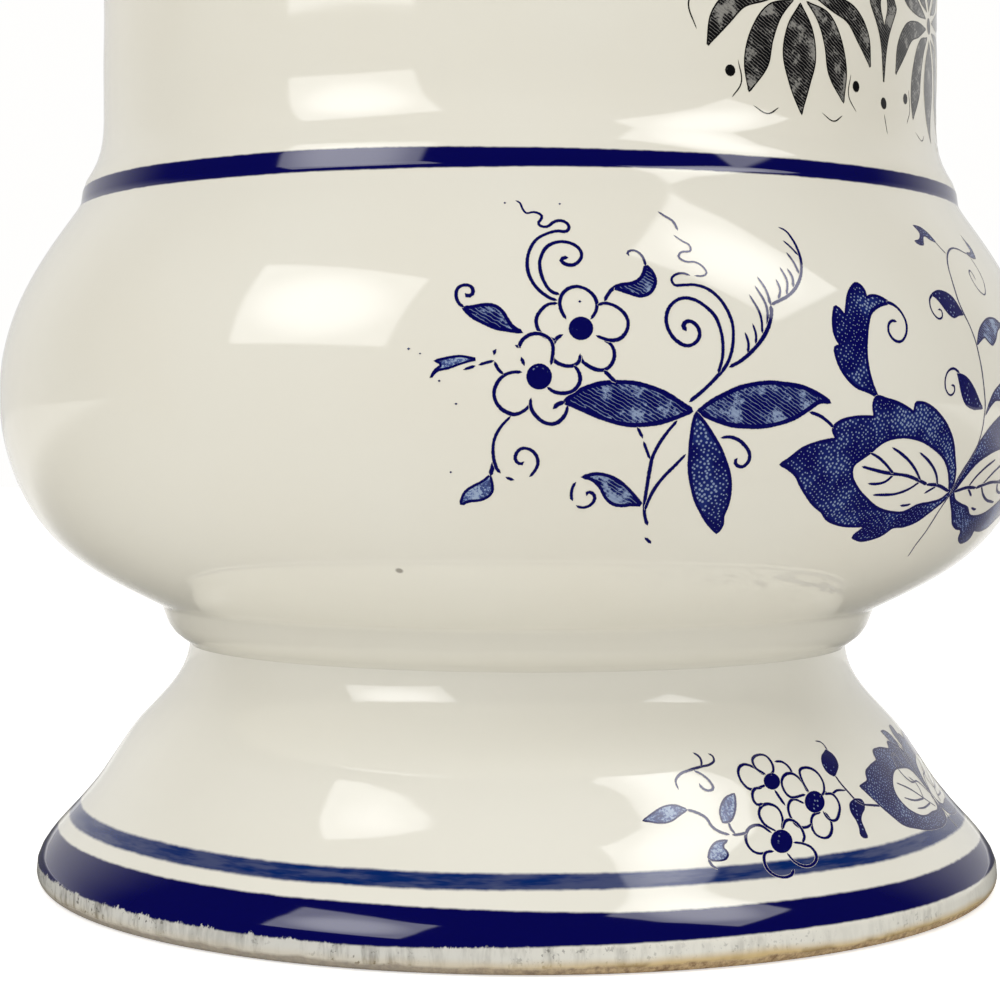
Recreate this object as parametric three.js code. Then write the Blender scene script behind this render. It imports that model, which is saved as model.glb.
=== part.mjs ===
// Footed earthenware cookie jar with a lift-off domed lid, in millimetres, +Z up.
// The origin is the centre of the foot ring's resting plane, and the jar's front faces -Y.
// Every piece is turned: a fair curve through a few stations of its outline, revolved about Z.
// A station is a radius and a rise above the station before it.
import * as THREE from "three";

// Driving dimensions

// Foot: a bell open underneath, from its resting ring up to the waist where the vessel is luted on
const FOOT_WALL = 6.5;
const RING_RADIUS = 86.4;
const RING_WIDTH = 5.6;
const RING_EASE = 1.2;
const EDGE_RADIUS = 88.6;
const EDGE_RISE = 2.8;
const BAND_RADIUS = 84.5;
const BAND_RISE = 7.3;
const COVE_RADIUS = 77.1;
const COVE_RISE = 8.6;
const BELL_RADIUS = 70.9;
const BELL_RISE = 9.2;
const THROAT_RADIUS = 63.4;
const THROAT_RISE = 8.5;
const WAIST_RADIUS = 61.0;
const WAIST_RISE = 6.8;

// Vessel: a collar over the waist, the belly, a ledge, and the straight wall that carries the label
const VESSEL_WALL = 5.2;
const FLOOR_THICKNESS = 7.0;
const FLOOR_EASE = 9.0;
const STEP_RADIUS = 63.9;
const STEP_RISE = 2.0;
const COLLAR_RADIUS = 66.0;
const COLLAR_RISE = 4.8;
const UNDER_RADIUS = 86.4;
const UNDER_RISE = 13.4;
const BELLY_RADIUS = 95.0;
const BELLY_RISE = 24.1;
const SHOULDER_RADIUS = 91.8;
const SHOULDER_RISE = 16.2;
const CREASE_RADIUS = 80.9;
const CREASE_RISE = 17.9;
const LEDGE_RADIUS = 80.1;
const LEDGE_RISE = 3.8;
const FILLET_RADIUS = 77.6;
const FILLET_RISE = 4.8;
const BODY_RADIUS = 76.4;
const LABEL_HALF_HEIGHT = 25.5;

// Rim: the ledge mirrored about the label, with a rounded bead that the lid rests on
const RIM_BEAD_RISE = 7.0;
const RIM_SEAT_WIDTH = 4.6;
const RIM_EDGE_RADIUS = 2.4;
const LIP_RADIUS = 1.4;
const MOUTH_DEPTH = 12.0;

// Lid: a flange on the rim, a skirt that locates it in the mouth, a stepped dome and a neck
const LID_SEAT_GAP = 0.3;
const LID_OVERHANG = 1.5;
const FLANGE_THICKNESS = 5.4;
const LID_WALL = 5.0;
const SKIRT_CLEARANCE = 1.5;
const SKIRT_DEPTH = 12.0;
const SKIRT_THICKNESS = 4.6;
const SKIRT_EDGE_RADIUS = 1.4;
const DOME_STEP_RADIUS = 72.5;
const DOME_STEP_RISE = 2.6;
const DOME_RADIUS = 71.5;
const DOME_RISE = 21.0;
const NECK_RADIUS = 9.6;
const NECK_RISE = 7.0;
const NECK_FLARE = 8.0;

// Knob: a hollow ball on the neck, drained through the dome
const KNOB_RADIUS = 16.0;
const KNOB_WALL = 5.2;
const DRAIN_RADIUS = 4.2;

// Fineness of the faceted surface
const TURNS = 48;
const KNOB_TURNS = 32;
const FLATNESS = 0.1;
const INNER_SPACING = 5.5;
const ON_AXIS = 1e-6;

const GLAZE = { color: 0xe3dccd, roughness: 0.12, metalness: 0 };

const UPWARD = new THREE.Vector2(0, 1);
const INWARD = new THREE.Vector2(-1, 0);
const at = (radius, height) => new THREE.Vector2(radius, height);

// Second derivatives of the cubic through the values; an end with no given slope runs out straight.
function secondDerivatives(lengths, values, startSlope, endSlope) {
  const last = values.length - 1;
  const second = new Array(last + 1).fill(0);
  const work = new Array(last + 1).fill(0);
  const span = (i) => lengths[i + 1] - lengths[i];
  const slope = (i) => (values[i + 1] - values[i]) / span(i);
  if (startSlope !== undefined) {
    second[0] = -0.5;
    work[0] = (3 / span(0)) * (slope(0) - startSlope);
  }
  for (let i = 1; i < last; i++) {
    const both = span(i - 1) + span(i);
    const ratio = span(i - 1) / both;
    const pivot = ratio * second[i - 1] + 2;
    second[i] = (ratio - 1) / pivot;
    work[i] = ((6 * (slope(i) - slope(i - 1))) / both - ratio * work[i - 1]) / pivot;
  }
  if (endSlope !== undefined) {
    const pull = (3 / span(last - 1)) * (endSlope - slope(last - 1));
    second[last] = (pull - 0.5 * work[last - 1]) / (0.5 * second[last - 1] + 1);
  }
  for (let i = last - 1; i >= 0; i--) {
    second[i] = second[i] * second[i + 1] + work[i];
  }
  return second;
}

// A THREE.Curve of even curvature through 2-D stations, as a turner's template is faired.
class FairCurve extends THREE.Curve {
  constructor(stations, start = {}, end = {}) {
    super();
    this.stations = stations;
    this.lengths = [0];
    for (let i = 1; i < stations.length; i++) {
      this.lengths.push(this.lengths[i - 1] + stations[i].distanceTo(stations[i - 1]));
    }
    const radii = stations.map((station) => station.x);
    const heights = stations.map((station) => station.y);
    this.bendX = secondDerivatives(this.lengths, radii, start.x, end.x);
    this.bendY = secondDerivatives(this.lengths, heights, start.y, end.y);
  }

  getPoint(t, target = new THREE.Vector2()) {
    const along = t * this.lengths[this.lengths.length - 1];
    let i = 0;
    while (i < this.lengths.length - 2 && along > this.lengths[i + 1]) i++;
    const span = this.lengths[i + 1] - this.lengths[i];
    const b = (along - this.lengths[i]) / span;
    const a = 1 - b;
    const bendA = ((a ** 3 - a) * span ** 2) / 6;
    const bendB = ((b ** 3 - b) * span ** 2) / 6;
    const [from, to] = [this.stations[i], this.stations[i + 1]];
    return target.set(
      a * from.x + b * to.x + bendA * this.bendX[i] + bendB * this.bendX[i + 1],
      a * from.y + b * to.y + bendA * this.bendY[i] + bendB * this.bendY[i + 1],
    );
  }
}

// Points along a curve, closer together where it bends, so that no chord strays by more than FLATNESS.
function flattened(curve, from = 0, to = 1, depth = 0) {
  const half = (from + to) / 2;
  const [start, middle, end] = [from, half, to].map((t) => curve.getPoint(t));
  const chord = end.clone().sub(start);
  const stray = Math.abs(chord.cross(middle.sub(start))) / chord.length();
  if (depth > 1 && (stray < FLATNESS || depth > 6)) return [start, end];
  const left = flattened(curve, from, half, depth + 1);
  const right = flattened(curve, half, to, depth + 1);
  return left.concat(right.slice(1));
}

function faired(stations, start, end) {
  return flattened(new FairCurve(stations, start, end));
}

// Stations stacked from a height: each a [radius, rise above the one before].
function stacked(height, ...steps) {
  let top = height;
  return steps.map(([radius, rise]) => {
    top += rise;
    return at(radius, top);
  });
}

// An arc about a centre from one angle to another, in degrees.
function arc(centre, radius, fromDegrees, toDegrees, steps = 3) {
  const [from, to] = [fromDegrees, toDegrees].map(THREE.MathUtils.degToRad);
  const curve = new THREE.EllipseCurve(centre.x, centre.y, radius, radius, from, to, to < from);
  return curve.getPoints(steps);
}

// The inside of a wall: the outside moved in by the wall's thickness, walked back with wider steps.
function insideOf(outside, wall) {
  const inside = outside.map((point, i) => {
    const before = outside[Math.max(i - 1, 0)];
    const after = outside[Math.min(i + 1, outside.length - 1)];
    const along = after.clone().sub(before).normalize();
    return at(point.x - along.y * wall, point.y + along.x * wall);
  });
  inside.reverse();
  const kept = [inside[0]];
  for (const point of inside) {
    if (point.distanceTo(kept[kept.length - 1]) >= INNER_SPACING) kept.push(point);
  }
  return kept;
}

// Revolves a closed outline, or one that starts and ends on the axis, about +Z.
function turned(name, outline, turns) {
  const onAxis = outline.map((point) => (point.x < ON_AXIS ? at(0, point.y) : point));
  const points = onAxis[0].x === 0 ? onAxis : [...onAxis, onAxis[0].clone()];
  const geometry = new THREE.LatheGeometry(points, turns);
  geometry.rotateX(Math.PI / 2);
  const mesh = new THREE.Mesh(geometry, new THREE.MeshStandardMaterial(GLAZE));
  mesh.name = name;
  return mesh;
}

// Foot

const WAIST_HEIGHT = EDGE_RISE + BAND_RISE + COVE_RISE + BELL_RISE + THROAT_RISE + WAIST_RISE;

function footOutside() {
  const stations = stacked(
    0,
    [EDGE_RADIUS, EDGE_RISE],
    [BAND_RADIUS, BAND_RISE],
    [COVE_RADIUS, COVE_RISE],
    [BELL_RADIUS, BELL_RISE],
    [THROAT_RADIUS, THROAT_RISE],
    [WAIST_RADIUS, WAIST_RISE],
  );
  return faired(stations, UPWARD, UPWARD);
}

function pedestalFoot() {
  const outside = footOutside();
  const toEdge = new THREE.QuadraticBezierCurve(at(RING_RADIUS, 0), at(EDGE_RADIUS, 0), outside[0]);
  const ringInside = RING_RADIUS - RING_WIDTH;
  const inside = insideOf(outside, FOOT_WALL).filter(
    (point) => point.y > EDGE_RISE + RING_EASE && point.y < WAIST_HEIGHT - RING_EASE,
  );
  const outline = [
    ...toEdge.getPoints(3),
    ...outside.slice(1),
    at(WAIST_RADIUS - FOOT_WALL, WAIST_HEIGHT),
    ...inside,
    at(ringInside - RING_EASE, RING_EASE),
    at(ringInside, 0),
  ];
  return turned("pedestal_foot", outline, TURNS);
}

// Vessel

const COLLAR_HEIGHT = WAIST_HEIGHT + STEP_RISE + COLLAR_RISE;
const CREASE_HEIGHT = COLLAR_HEIGHT + UNDER_RISE + BELLY_RISE + SHOULDER_RISE + CREASE_RISE;
const FILLET_HEIGHT = CREASE_HEIGHT + LEDGE_RISE + FILLET_RISE;
const LABEL_HEIGHT = FILLET_HEIGHT + LABEL_HALF_HEIGHT;
const RIM_LEDGE_HEIGHT = LABEL_HEIGHT + LABEL_HALF_HEIGHT + FILLET_RISE;
const RIM_HEIGHT = RIM_LEDGE_HEIGHT + RIM_BEAD_RISE;
const INNER_FLOOR = WAIST_HEIGHT + FLOOR_THICKNESS;
const BORE_RADIUS = BODY_RADIUS - VESSEL_WALL;
const MOUTH_RADIUS = LEDGE_RADIUS - RIM_EDGE_RADIUS - RIM_SEAT_WIDTH - LIP_RADIUS;

function collarOutside() {
  const stations = stacked(
    WAIST_HEIGHT,
    [WAIST_RADIUS, 0],
    [STEP_RADIUS, STEP_RISE],
    [COLLAR_RADIUS, COLLAR_RISE],
  );
  return faired(stations);
}

function bellyOutside() {
  const stations = stacked(
    COLLAR_HEIGHT,
    [COLLAR_RADIUS, 0],
    [UNDER_RADIUS, UNDER_RISE],
    [BELLY_RADIUS, BELLY_RISE],
    [SHOULDER_RADIUS, SHOULDER_RISE],
    [CREASE_RADIUS, CREASE_RISE],
  );
  return faired(stations);
}

// From the ledge to the middle of the label, measured from the ledge.
function ledgeOutside() {
  const stations = stacked(
    0,
    [LEDGE_RADIUS, 0],
    [FILLET_RADIUS, FILLET_RISE],
    [BODY_RADIUS + (FILLET_RADIUS - BODY_RADIUS) / 8, LABEL_HALF_HEIGHT / 2],
    [BODY_RADIUS, LABEL_HALF_HEIGHT / 2],
  );
  return faired(stations, undefined, UPWARD);
}

function vesselOutside() {
  const ledge = ledgeOutside();
  const lower = ledge.map((point) => at(point.x, CREASE_HEIGHT + LEDGE_RISE + point.y));
  const upper = ledge.map((point) => at(point.x, RIM_LEDGE_HEIGHT - point.y)).reverse();
  const edgeCentre = at(LEDGE_RADIUS - RIM_EDGE_RADIUS, RIM_HEIGHT - RIM_EDGE_RADIUS);
  return [
    ...collarOutside(),
    ...bellyOutside().slice(1),
    ...lower,
    ...upper.slice(1),
    ...arc(edgeCentre, RIM_EDGE_RADIUS, 0, 90),
  ];
}

function vesselInside() {
  const lip = arc(at(MOUTH_RADIUS + LIP_RADIUS, RIM_HEIGHT - LIP_RADIUS), LIP_RADIUS, 90, 180);
  const bowl = insideOf(bellyOutside(), VESSEL_WALL).filter(
    (point) => point.y > INNER_FLOOR + FLOOR_EASE / 2,
  );
  const heel = [bowl[bowl.length - 1], at(COLLAR_RADIUS - FLOOR_EASE, INNER_FLOOR)];
  return [
    ...lip,
    at(BORE_RADIUS, RIM_HEIGHT - MOUTH_DEPTH),
    at(BORE_RADIUS, LABEL_HEIGHT),
    at(BORE_RADIUS, FILLET_HEIGHT),
    ...bowl,
    ...faired(heel, undefined, INWARD).slice(1),
    at(0, INNER_FLOOR),
  ];
}

function vessel() {
  return turned("vessel", [at(0, WAIST_HEIGHT), ...vesselOutside(), ...vesselInside()], TURNS);
}

// Lid

const SEAT_HEIGHT = RIM_HEIGHT + LID_SEAT_GAP;
const FLANGE_RADIUS = LEDGE_RADIUS + LID_OVERHANG;
const FLANGE_TOP = SEAT_HEIGHT + FLANGE_THICKNESS;
const DOME_BASE = FLANGE_TOP + DOME_STEP_RISE;
const NECK_TOP = DOME_BASE + DOME_RISE + NECK_RISE;
const SKIRT_RADIUS = Math.min(BORE_RADIUS, MOUTH_RADIUS) - SKIRT_CLEARANCE;

// The dome is a quarter ellipse that sweeps up into the neck.
function domeOutside() {
  const dome = new THREE.EllipseCurve(0, DOME_BASE, DOME_RADIUS, DOME_RISE, 0, Math.PI / 2);
  const crown = Math.acos((NECK_RADIUS + NECK_FLARE) / DOME_RADIUS) / (Math.PI / 2);
  const shell = flattened(dome, 0, crown);
  const sweep = [shell[shell.length - 1], at(NECK_RADIUS, NECK_TOP)];
  return [...shell, ...faired(sweep, dome.getTangent(crown), UPWARD).slice(1)];
}

function lidCover() {
  const edgeRadius = FLANGE_THICKNESS / 2;
  const edge = arc(at(FLANGE_RADIUS - edgeRadius, SEAT_HEIGHT + edgeRadius), edgeRadius, -90, 90, 6);
  const skirtInside = SKIRT_RADIUS - SKIRT_THICKNESS;
  const skirtEnd = SEAT_HEIGHT - SKIRT_DEPTH;
  const outside = domeOutside();
  const inside = insideOf(outside, LID_WALL).filter(
    (point) => point.x < skirtInside && point.x > NECK_RADIUS + NECK_FLARE / 2,
  );
  const outline = [
    ...edge,
    at(DOME_STEP_RADIUS, FLANGE_TOP),
    ...outside,
    at(DRAIN_RADIUS, NECK_TOP),
    at(DRAIN_RADIUS, inside[0].y),
    ...inside,
    at(skirtInside, SEAT_HEIGHT),
    ...arc(at(skirtInside + SKIRT_EDGE_RADIUS, skirtEnd + SKIRT_EDGE_RADIUS), SKIRT_EDGE_RADIUS, 180, 270),
    ...arc(at(SKIRT_RADIUS - SKIRT_EDGE_RADIUS, skirtEnd + SKIRT_EDGE_RADIUS), SKIRT_EDGE_RADIUS, 270, 360),
    at(SKIRT_RADIUS, SEAT_HEIGHT),
  ];
  return turned("lid_cover", outline, TURNS);
}

// Knob

// The angle in degrees below a ball's equator at which it has narrowed to a radius.
function angleBelow(ballRadius, narrowed) {
  return THREE.MathUtils.radToDeg(Math.acos(narrowed / ballRadius));
}

function lidKnob() {
  const hollow = KNOB_RADIUS - KNOB_WALL;
  const centre = at(0, NECK_TOP + Math.sqrt(KNOB_RADIUS ** 2 - NECK_RADIUS ** 2));
  const outline = [
    ...arc(centre, hollow, 90, -angleBelow(hollow, DRAIN_RADIUS), 7),
    at(DRAIN_RADIUS, NECK_TOP),
    ...arc(centre, KNOB_RADIUS, -angleBelow(KNOB_RADIUS, NECK_RADIUS), 90, 11),
  ];
  return turned("lid_knob", outline, KNOB_TURNS);
}

const jar = new THREE.Group();
jar.add(pedestalFoot(), vessel());

const lid = new THREE.Group();
lid.add(lidCover(), lidKnob());
jar.add(lid);

export default jar;
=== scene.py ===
"""A footed earthenware cookie jar: turned pieces under a cream glaze, cobalt stripes and printed sprays.

Everything is in metres in the frame of the CAD model, +Z up, with the jar's front facing -Y.
Drawings are made flat, in millimetres, and then rolled on to the turned surface that carries them.
"""
import logging
import math
from abc import ABC, abstractmethod
from dataclasses import dataclass, field
from enum import Enum
from typing import Protocol

import bmesh
import bpy
import numpy as np
from mathutils import Matrix, Quaternion, Vector
from mathutils.geometry import delaunay_2d_cdt

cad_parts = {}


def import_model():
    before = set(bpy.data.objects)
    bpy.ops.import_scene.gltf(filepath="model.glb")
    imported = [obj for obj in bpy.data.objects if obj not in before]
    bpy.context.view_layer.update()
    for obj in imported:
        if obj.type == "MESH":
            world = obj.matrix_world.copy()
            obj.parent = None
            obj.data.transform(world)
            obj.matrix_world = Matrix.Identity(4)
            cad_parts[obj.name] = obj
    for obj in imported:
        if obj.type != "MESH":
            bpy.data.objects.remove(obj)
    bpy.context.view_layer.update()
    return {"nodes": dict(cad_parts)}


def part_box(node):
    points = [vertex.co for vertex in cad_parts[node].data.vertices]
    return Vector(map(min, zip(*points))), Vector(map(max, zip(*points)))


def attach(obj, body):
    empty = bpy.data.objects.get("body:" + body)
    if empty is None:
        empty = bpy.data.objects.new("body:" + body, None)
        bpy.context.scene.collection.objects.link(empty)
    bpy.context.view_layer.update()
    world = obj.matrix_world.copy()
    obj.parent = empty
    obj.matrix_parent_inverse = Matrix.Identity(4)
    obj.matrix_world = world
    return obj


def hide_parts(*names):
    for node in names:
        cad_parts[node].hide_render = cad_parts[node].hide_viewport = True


log = logging.getLogger("jar")

MM = 0.001
FRONT = -math.pi / 2  # the angle about Z at which the front lies
SAME = 1e-5  # heights in metres that differ by less are one height
TINY = 1e-9  # shorter than this, a step has no direction


# Node trees ------------------------------------------------------------------------------------


class Signal:
    """A number that flows between nodes, written as plain arithmetic."""

    def __init__(self, board: "Board", socket: bpy.types.NodeSocket) -> None:
        """Wraps an output socket of a board."""
        self.board = board
        self.socket = socket

    def _math(self, operation: str, *values: object) -> "Signal":
        """Adds one Math node, whose inputs are numbers or signals."""
        inputs = dict(enumerate(values))
        return self.board.add("ShaderNodeMath", {"operation": operation}, inputs).value()

    def __add__(self, other: object) -> "Signal":
        """This plus other."""
        return self._math("ADD", self, other)

    __radd__ = __add__

    def __sub__(self, other: object) -> "Signal":
        """This less other."""
        return self._math("SUBTRACT", self, other)

    def __rsub__(self, other: object) -> "Signal":
        """Other less this."""
        return self._math("SUBTRACT", other, self)

    def __mul__(self, other: object) -> "Signal":
        """This times other."""
        return self._math("MULTIPLY", self, other)

    __rmul__ = __mul__

    def __truediv__(self, other: object) -> "Signal":
        """This over other."""
        return self._math("DIVIDE", self, other)

    def __rtruediv__(self, other: object) -> "Signal":
        """Other over this."""
        return self._math("DIVIDE", other, self)

    def __mod__(self, other: object) -> "Signal":
        """What is left of this after whole steps of other, never negative."""
        return self._math("FLOORED_MODULO", self, other)

    def __rmod__(self, other: object) -> "Signal":
        """What is left of other after whole steps of this."""
        return self._math("FLOORED_MODULO", other, self)

    def __abs__(self) -> "Signal":
        """This without its sign."""
        return self._math("ABSOLUTE", self)

    def floor(self) -> "Signal":
        """The whole number at or below this."""
        return self._math("FLOOR", self)

    def sine(self) -> "Signal":
        """The sine of this angle in radians."""
        return self._math("SINE", self)

    def cosine(self) -> "Signal":
        """The cosine of this angle in radians."""
        return self._math("COSINE", self)

    def lesser(self, other: object) -> "Signal":
        """The smaller of the two."""
        return self._math("MINIMUM", self, other)

    def ramp(self, start: object, end: object) -> "Signal":
        """Rises softly from 0 at start to 1 at end.

        Args:
            start: where the ramp begins.
            end: where it ends; it may lie below start, and the ramp then falls.

        Returns:
            A number between 0 and 1.
        """
        inputs = {0: self, 1: start, 2: end, 3: 0.0, 4: 1.0}
        settings = {"interpolation_type": "SMOOTHSTEP"}
        return self.board.add("ShaderNodeMapRange", settings, inputs).value()

    def between(self, low: object, high: object, soft: float) -> "Signal":
        """1 from low to high, with soft edges of that width."""
        rise = self.ramp(low - soft / 2, low + soft / 2)
        return rise * self.ramp(high + soft / 2, high - soft / 2)


class Handle:
    """A node that has been added, with shorthands for its outputs."""

    def __init__(self, board: "Board", node: bpy.types.Node) -> None:
        """Wraps a node of a board."""
        self.board = board
        self.node = node

    def value(self, name: object = 0) -> Signal:
        """An output by name or place, as a signal."""
        return Signal(self.board, self.node.outputs[name])


class Board:
    """A node tree that is written as calls: settings first, then inputs."""

    def __init__(self, tree: bpy.types.NodeTree) -> None:
        """Wraps an empty or cleared tree."""
        self.tree = tree

    def add(self, kind: str, settings: dict | None = None, inputs: dict | None = None) -> Handle:
        """Adds a node.

        Args:
            kind: Blender's type name of the node.
            settings: attributes to set before the inputs.
            inputs: values, signals or handles by input name or place.

        Returns:
            The node's handle.
        """
        node = self.tree.nodes.new(kind)
        for name, value in (settings or {}).items():
            setattr(node, name, value)
        for name, value in (inputs or {}).items():
            socket = node.inputs[name]
            if isinstance(value, Handle):
                value = value.value()
            if isinstance(value, Signal):
                self.tree.links.new(value.socket, socket)
            else:
                socket.default_value = value
        return Handle(self, node)

    def blend(self, share: object, first: object, second: object) -> Signal:
        """Mixes two colours, each four numbers or a signal, with that share of the second."""
        inputs = {"Factor": share, 6: first, 7: second}
        return self.add("ShaderNodeMix", {"data_type": "RGBA"}, inputs).value(2)

    def vector(self, operation: str, *values: object, out: object = 0) -> Signal:
        """Adds a Vector Math node."""
        inputs = dict(enumerate(values))
        return self.add("ShaderNodeVectorMath", {"operation": operation}, inputs).value(out)

    def dot(self, first: object, second: object) -> Signal:
        """How far one vector reaches along another of length 1."""
        return self.vector("DOT_PRODUCT", first, second, out="Value")

    def parts(self, vector: object) -> Handle:
        """A vector's X, Y and Z."""
        return self.add("ShaderNodeSeparateXYZ", {}, {0: vector})

    def joined(self, **axes: object) -> Handle:
        """A vector from its X, Y and Z."""
        return self.add("ShaderNodeCombineXYZ", {}, axes)

    def coordinates(self, kind: str = "Object") -> Signal:
        """Texture coordinates of a kind; the object's own are in metres."""
        return self.add("ShaderNodeTexCoord").value(kind)

    def noise(
        self, place: object, scale: float, detail: float = 2.0, rough: float = 0.5, upright: float = 1.0
    ) -> Signal:
        """Cloudy noise around 0.5.

        Args:
            place: the coordinates that it is taken at.
            scale: how many clouds fit into one unit.
            detail: how many finer layers it has.
            rough: how much the finer layers weigh.
            upright: the scale along Z against that across; below 1, the clouds stand upright.

        Returns:
            The noise.
        """
        if upright != 1.0:
            place = self.vector("MULTIPLY", place, (1.0, 1.0, upright))
        inputs = {"Vector": place, "Scale": scale, "Detail": detail, "Roughness": rough}
        return self.add("ShaderNodeTexNoise", {}, inputs).value()


def cleared(owner: bpy.types.ID) -> Board:
    """Empties the node tree of a material, a light or a world.

    Args:
        owner: what the tree belongs to.

    Returns:
        The tree's board.
    """
    owner.use_nodes = True
    owner.node_tree.nodes.clear()
    return Board(owner.node_tree)


Colour = tuple[float, float, float, float]


def linear(level: float) -> float:
    """A display level of 0 to 255 as a shader takes it."""
    level /= 255
    return level / 12.92 if level <= 0.04045 else ((level + 0.055) / 1.055) ** 2.4


def colour(red: int, green: int, blue: int) -> Colour:
    """A display colour of 0 to 255 as the linear colour that a shader takes."""
    return (linear(red), linear(green), linear(blue), 1.0)


def surface_out(board: Board, inputs: dict) -> None:
    """Ends a material's tree in one surface shader with these inputs."""
    shader = board.add("ShaderNodeBsdfPrincipled", {}, inputs)
    board.add("ShaderNodeOutputMaterial", {}, {"Surface": shader})


DARK, WHITE = colour(0, 0, 0), colour(255, 255, 255)


# Finishes --------------------------------------------------------------------------------------


@dataclass(frozen=True)
class Stripe:
    """A painted line round a piece, between two heights in millimetres."""

    low: float
    high: float
    shade: Colour
    wander: float = 0.25
    soft: float = 0.35
    streaks: float = 0.25
    torn: float = 0.0
    pressed: float = 0.0


@dataclass
class Finish(ABC):
    """A glazed surface: the cream body, what each kind of finish paints on it, and the gloss."""

    name: str
    # The second of these creams is darker and warmer; it is laid in random clouds as painted shade.
    CREAM, WARM_CREAM, PINHOLE = colour(222, 219, 207), colour(218, 212, 196), colour(112, 106, 96)
    ROUGHNESS, INDEX, RIPPLE = 0.045, 1.52, 0.05

    def __post_init__(self) -> None:
        """Starts the material; places on its surface are object coordinates in metres."""
        self.material = bpy.data.materials.new(self.name)
        self.board = cleared(self.material)
        self.place = self.board.coordinates()

    @abstractmethod
    def paint(self) -> tuple[Signal, object]:
        """Gives the surface's tint, and what it has in roughness above the gloss."""

    def build(self) -> bpy.types.Material:
        """Paints the surface and glosses it.

        Returns:
            The material.
        """
        tint, rough = self.paint()
        inputs = {"Base Color": tint, "Roughness": rough + self.ROUGHNESS, "IOR": self.INDEX}
        surface_out(self.board, inputs | {"Normal": self.bump()})
        return self.material

    def noise(self, scale: float, detail: float, rough: float, upright: float = 1.0) -> Signal:
        """Cloudy noise around 0.5 on the surface, as the board makes it."""
        return self.board.noise(self.place, scale, detail, rough, upright)

    def sway(self, scale: float, detail: float, rough: float, reach: float) -> Signal:
        """The same noise around 0, within half of reach on either side."""
        return (self.noise(scale, detail, rough) - 0.5) * reach

    def bump(self) -> Handle:
        """Raises the slow waves, the fine orange peel and the pinholes of the fired gloss.

        Returns:
            A Bump node.
        """
        peel = self.noise(170.0, 1.0, 0.4) * 0.055
        height = self.noise(26.0, 1.5, 0.4) + peel - self.pits() * 0.12
        inputs = {"Strength": self.RIPPLE, "Distance": 0.004, "Height": height}
        return self.board.add("ShaderNodeBump", {}, inputs)

    def pits(self) -> Signal:
        """Scatters pinholes and specks.

        Returns:
            1 in their middle, and 0 away from them.
        """
        inputs = {"Vector": self.place, "Scale": 85.0, "Randomness": 1.0}
        cells = self.board.add("ShaderNodeTexVoronoi", {"feature": "F1"}, inputs)
        chance = self.board.add("ShaderNodeSeparateColor", {}, {0: cells.value("Color")})
        size = 0.035 + chance.value(1) * 0.035
        return cells.value("Distance").ramp(size, size * 0.45) * chance.value(0).ramp(0.93, 0.935)

    def ground(self) -> Signal:
        """Tints the cream, with slow drifts of painted shade in a darker, warmer cream, and a few dark
        specks.

        Returns:
            Its colour.
        """
        # painted shade: random clouds of the darker, warmer cream
        shade_drift = self.noise(14.0, 3.0, 0.55).ramp(0.3, 0.75)
        shaded = self.board.blend(shade_drift * 0.45, self.CREAM, self.WARM_CREAM)
        return self.board.blend(self.pits() * 0.75, shaded, self.PINHOLE)


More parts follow.
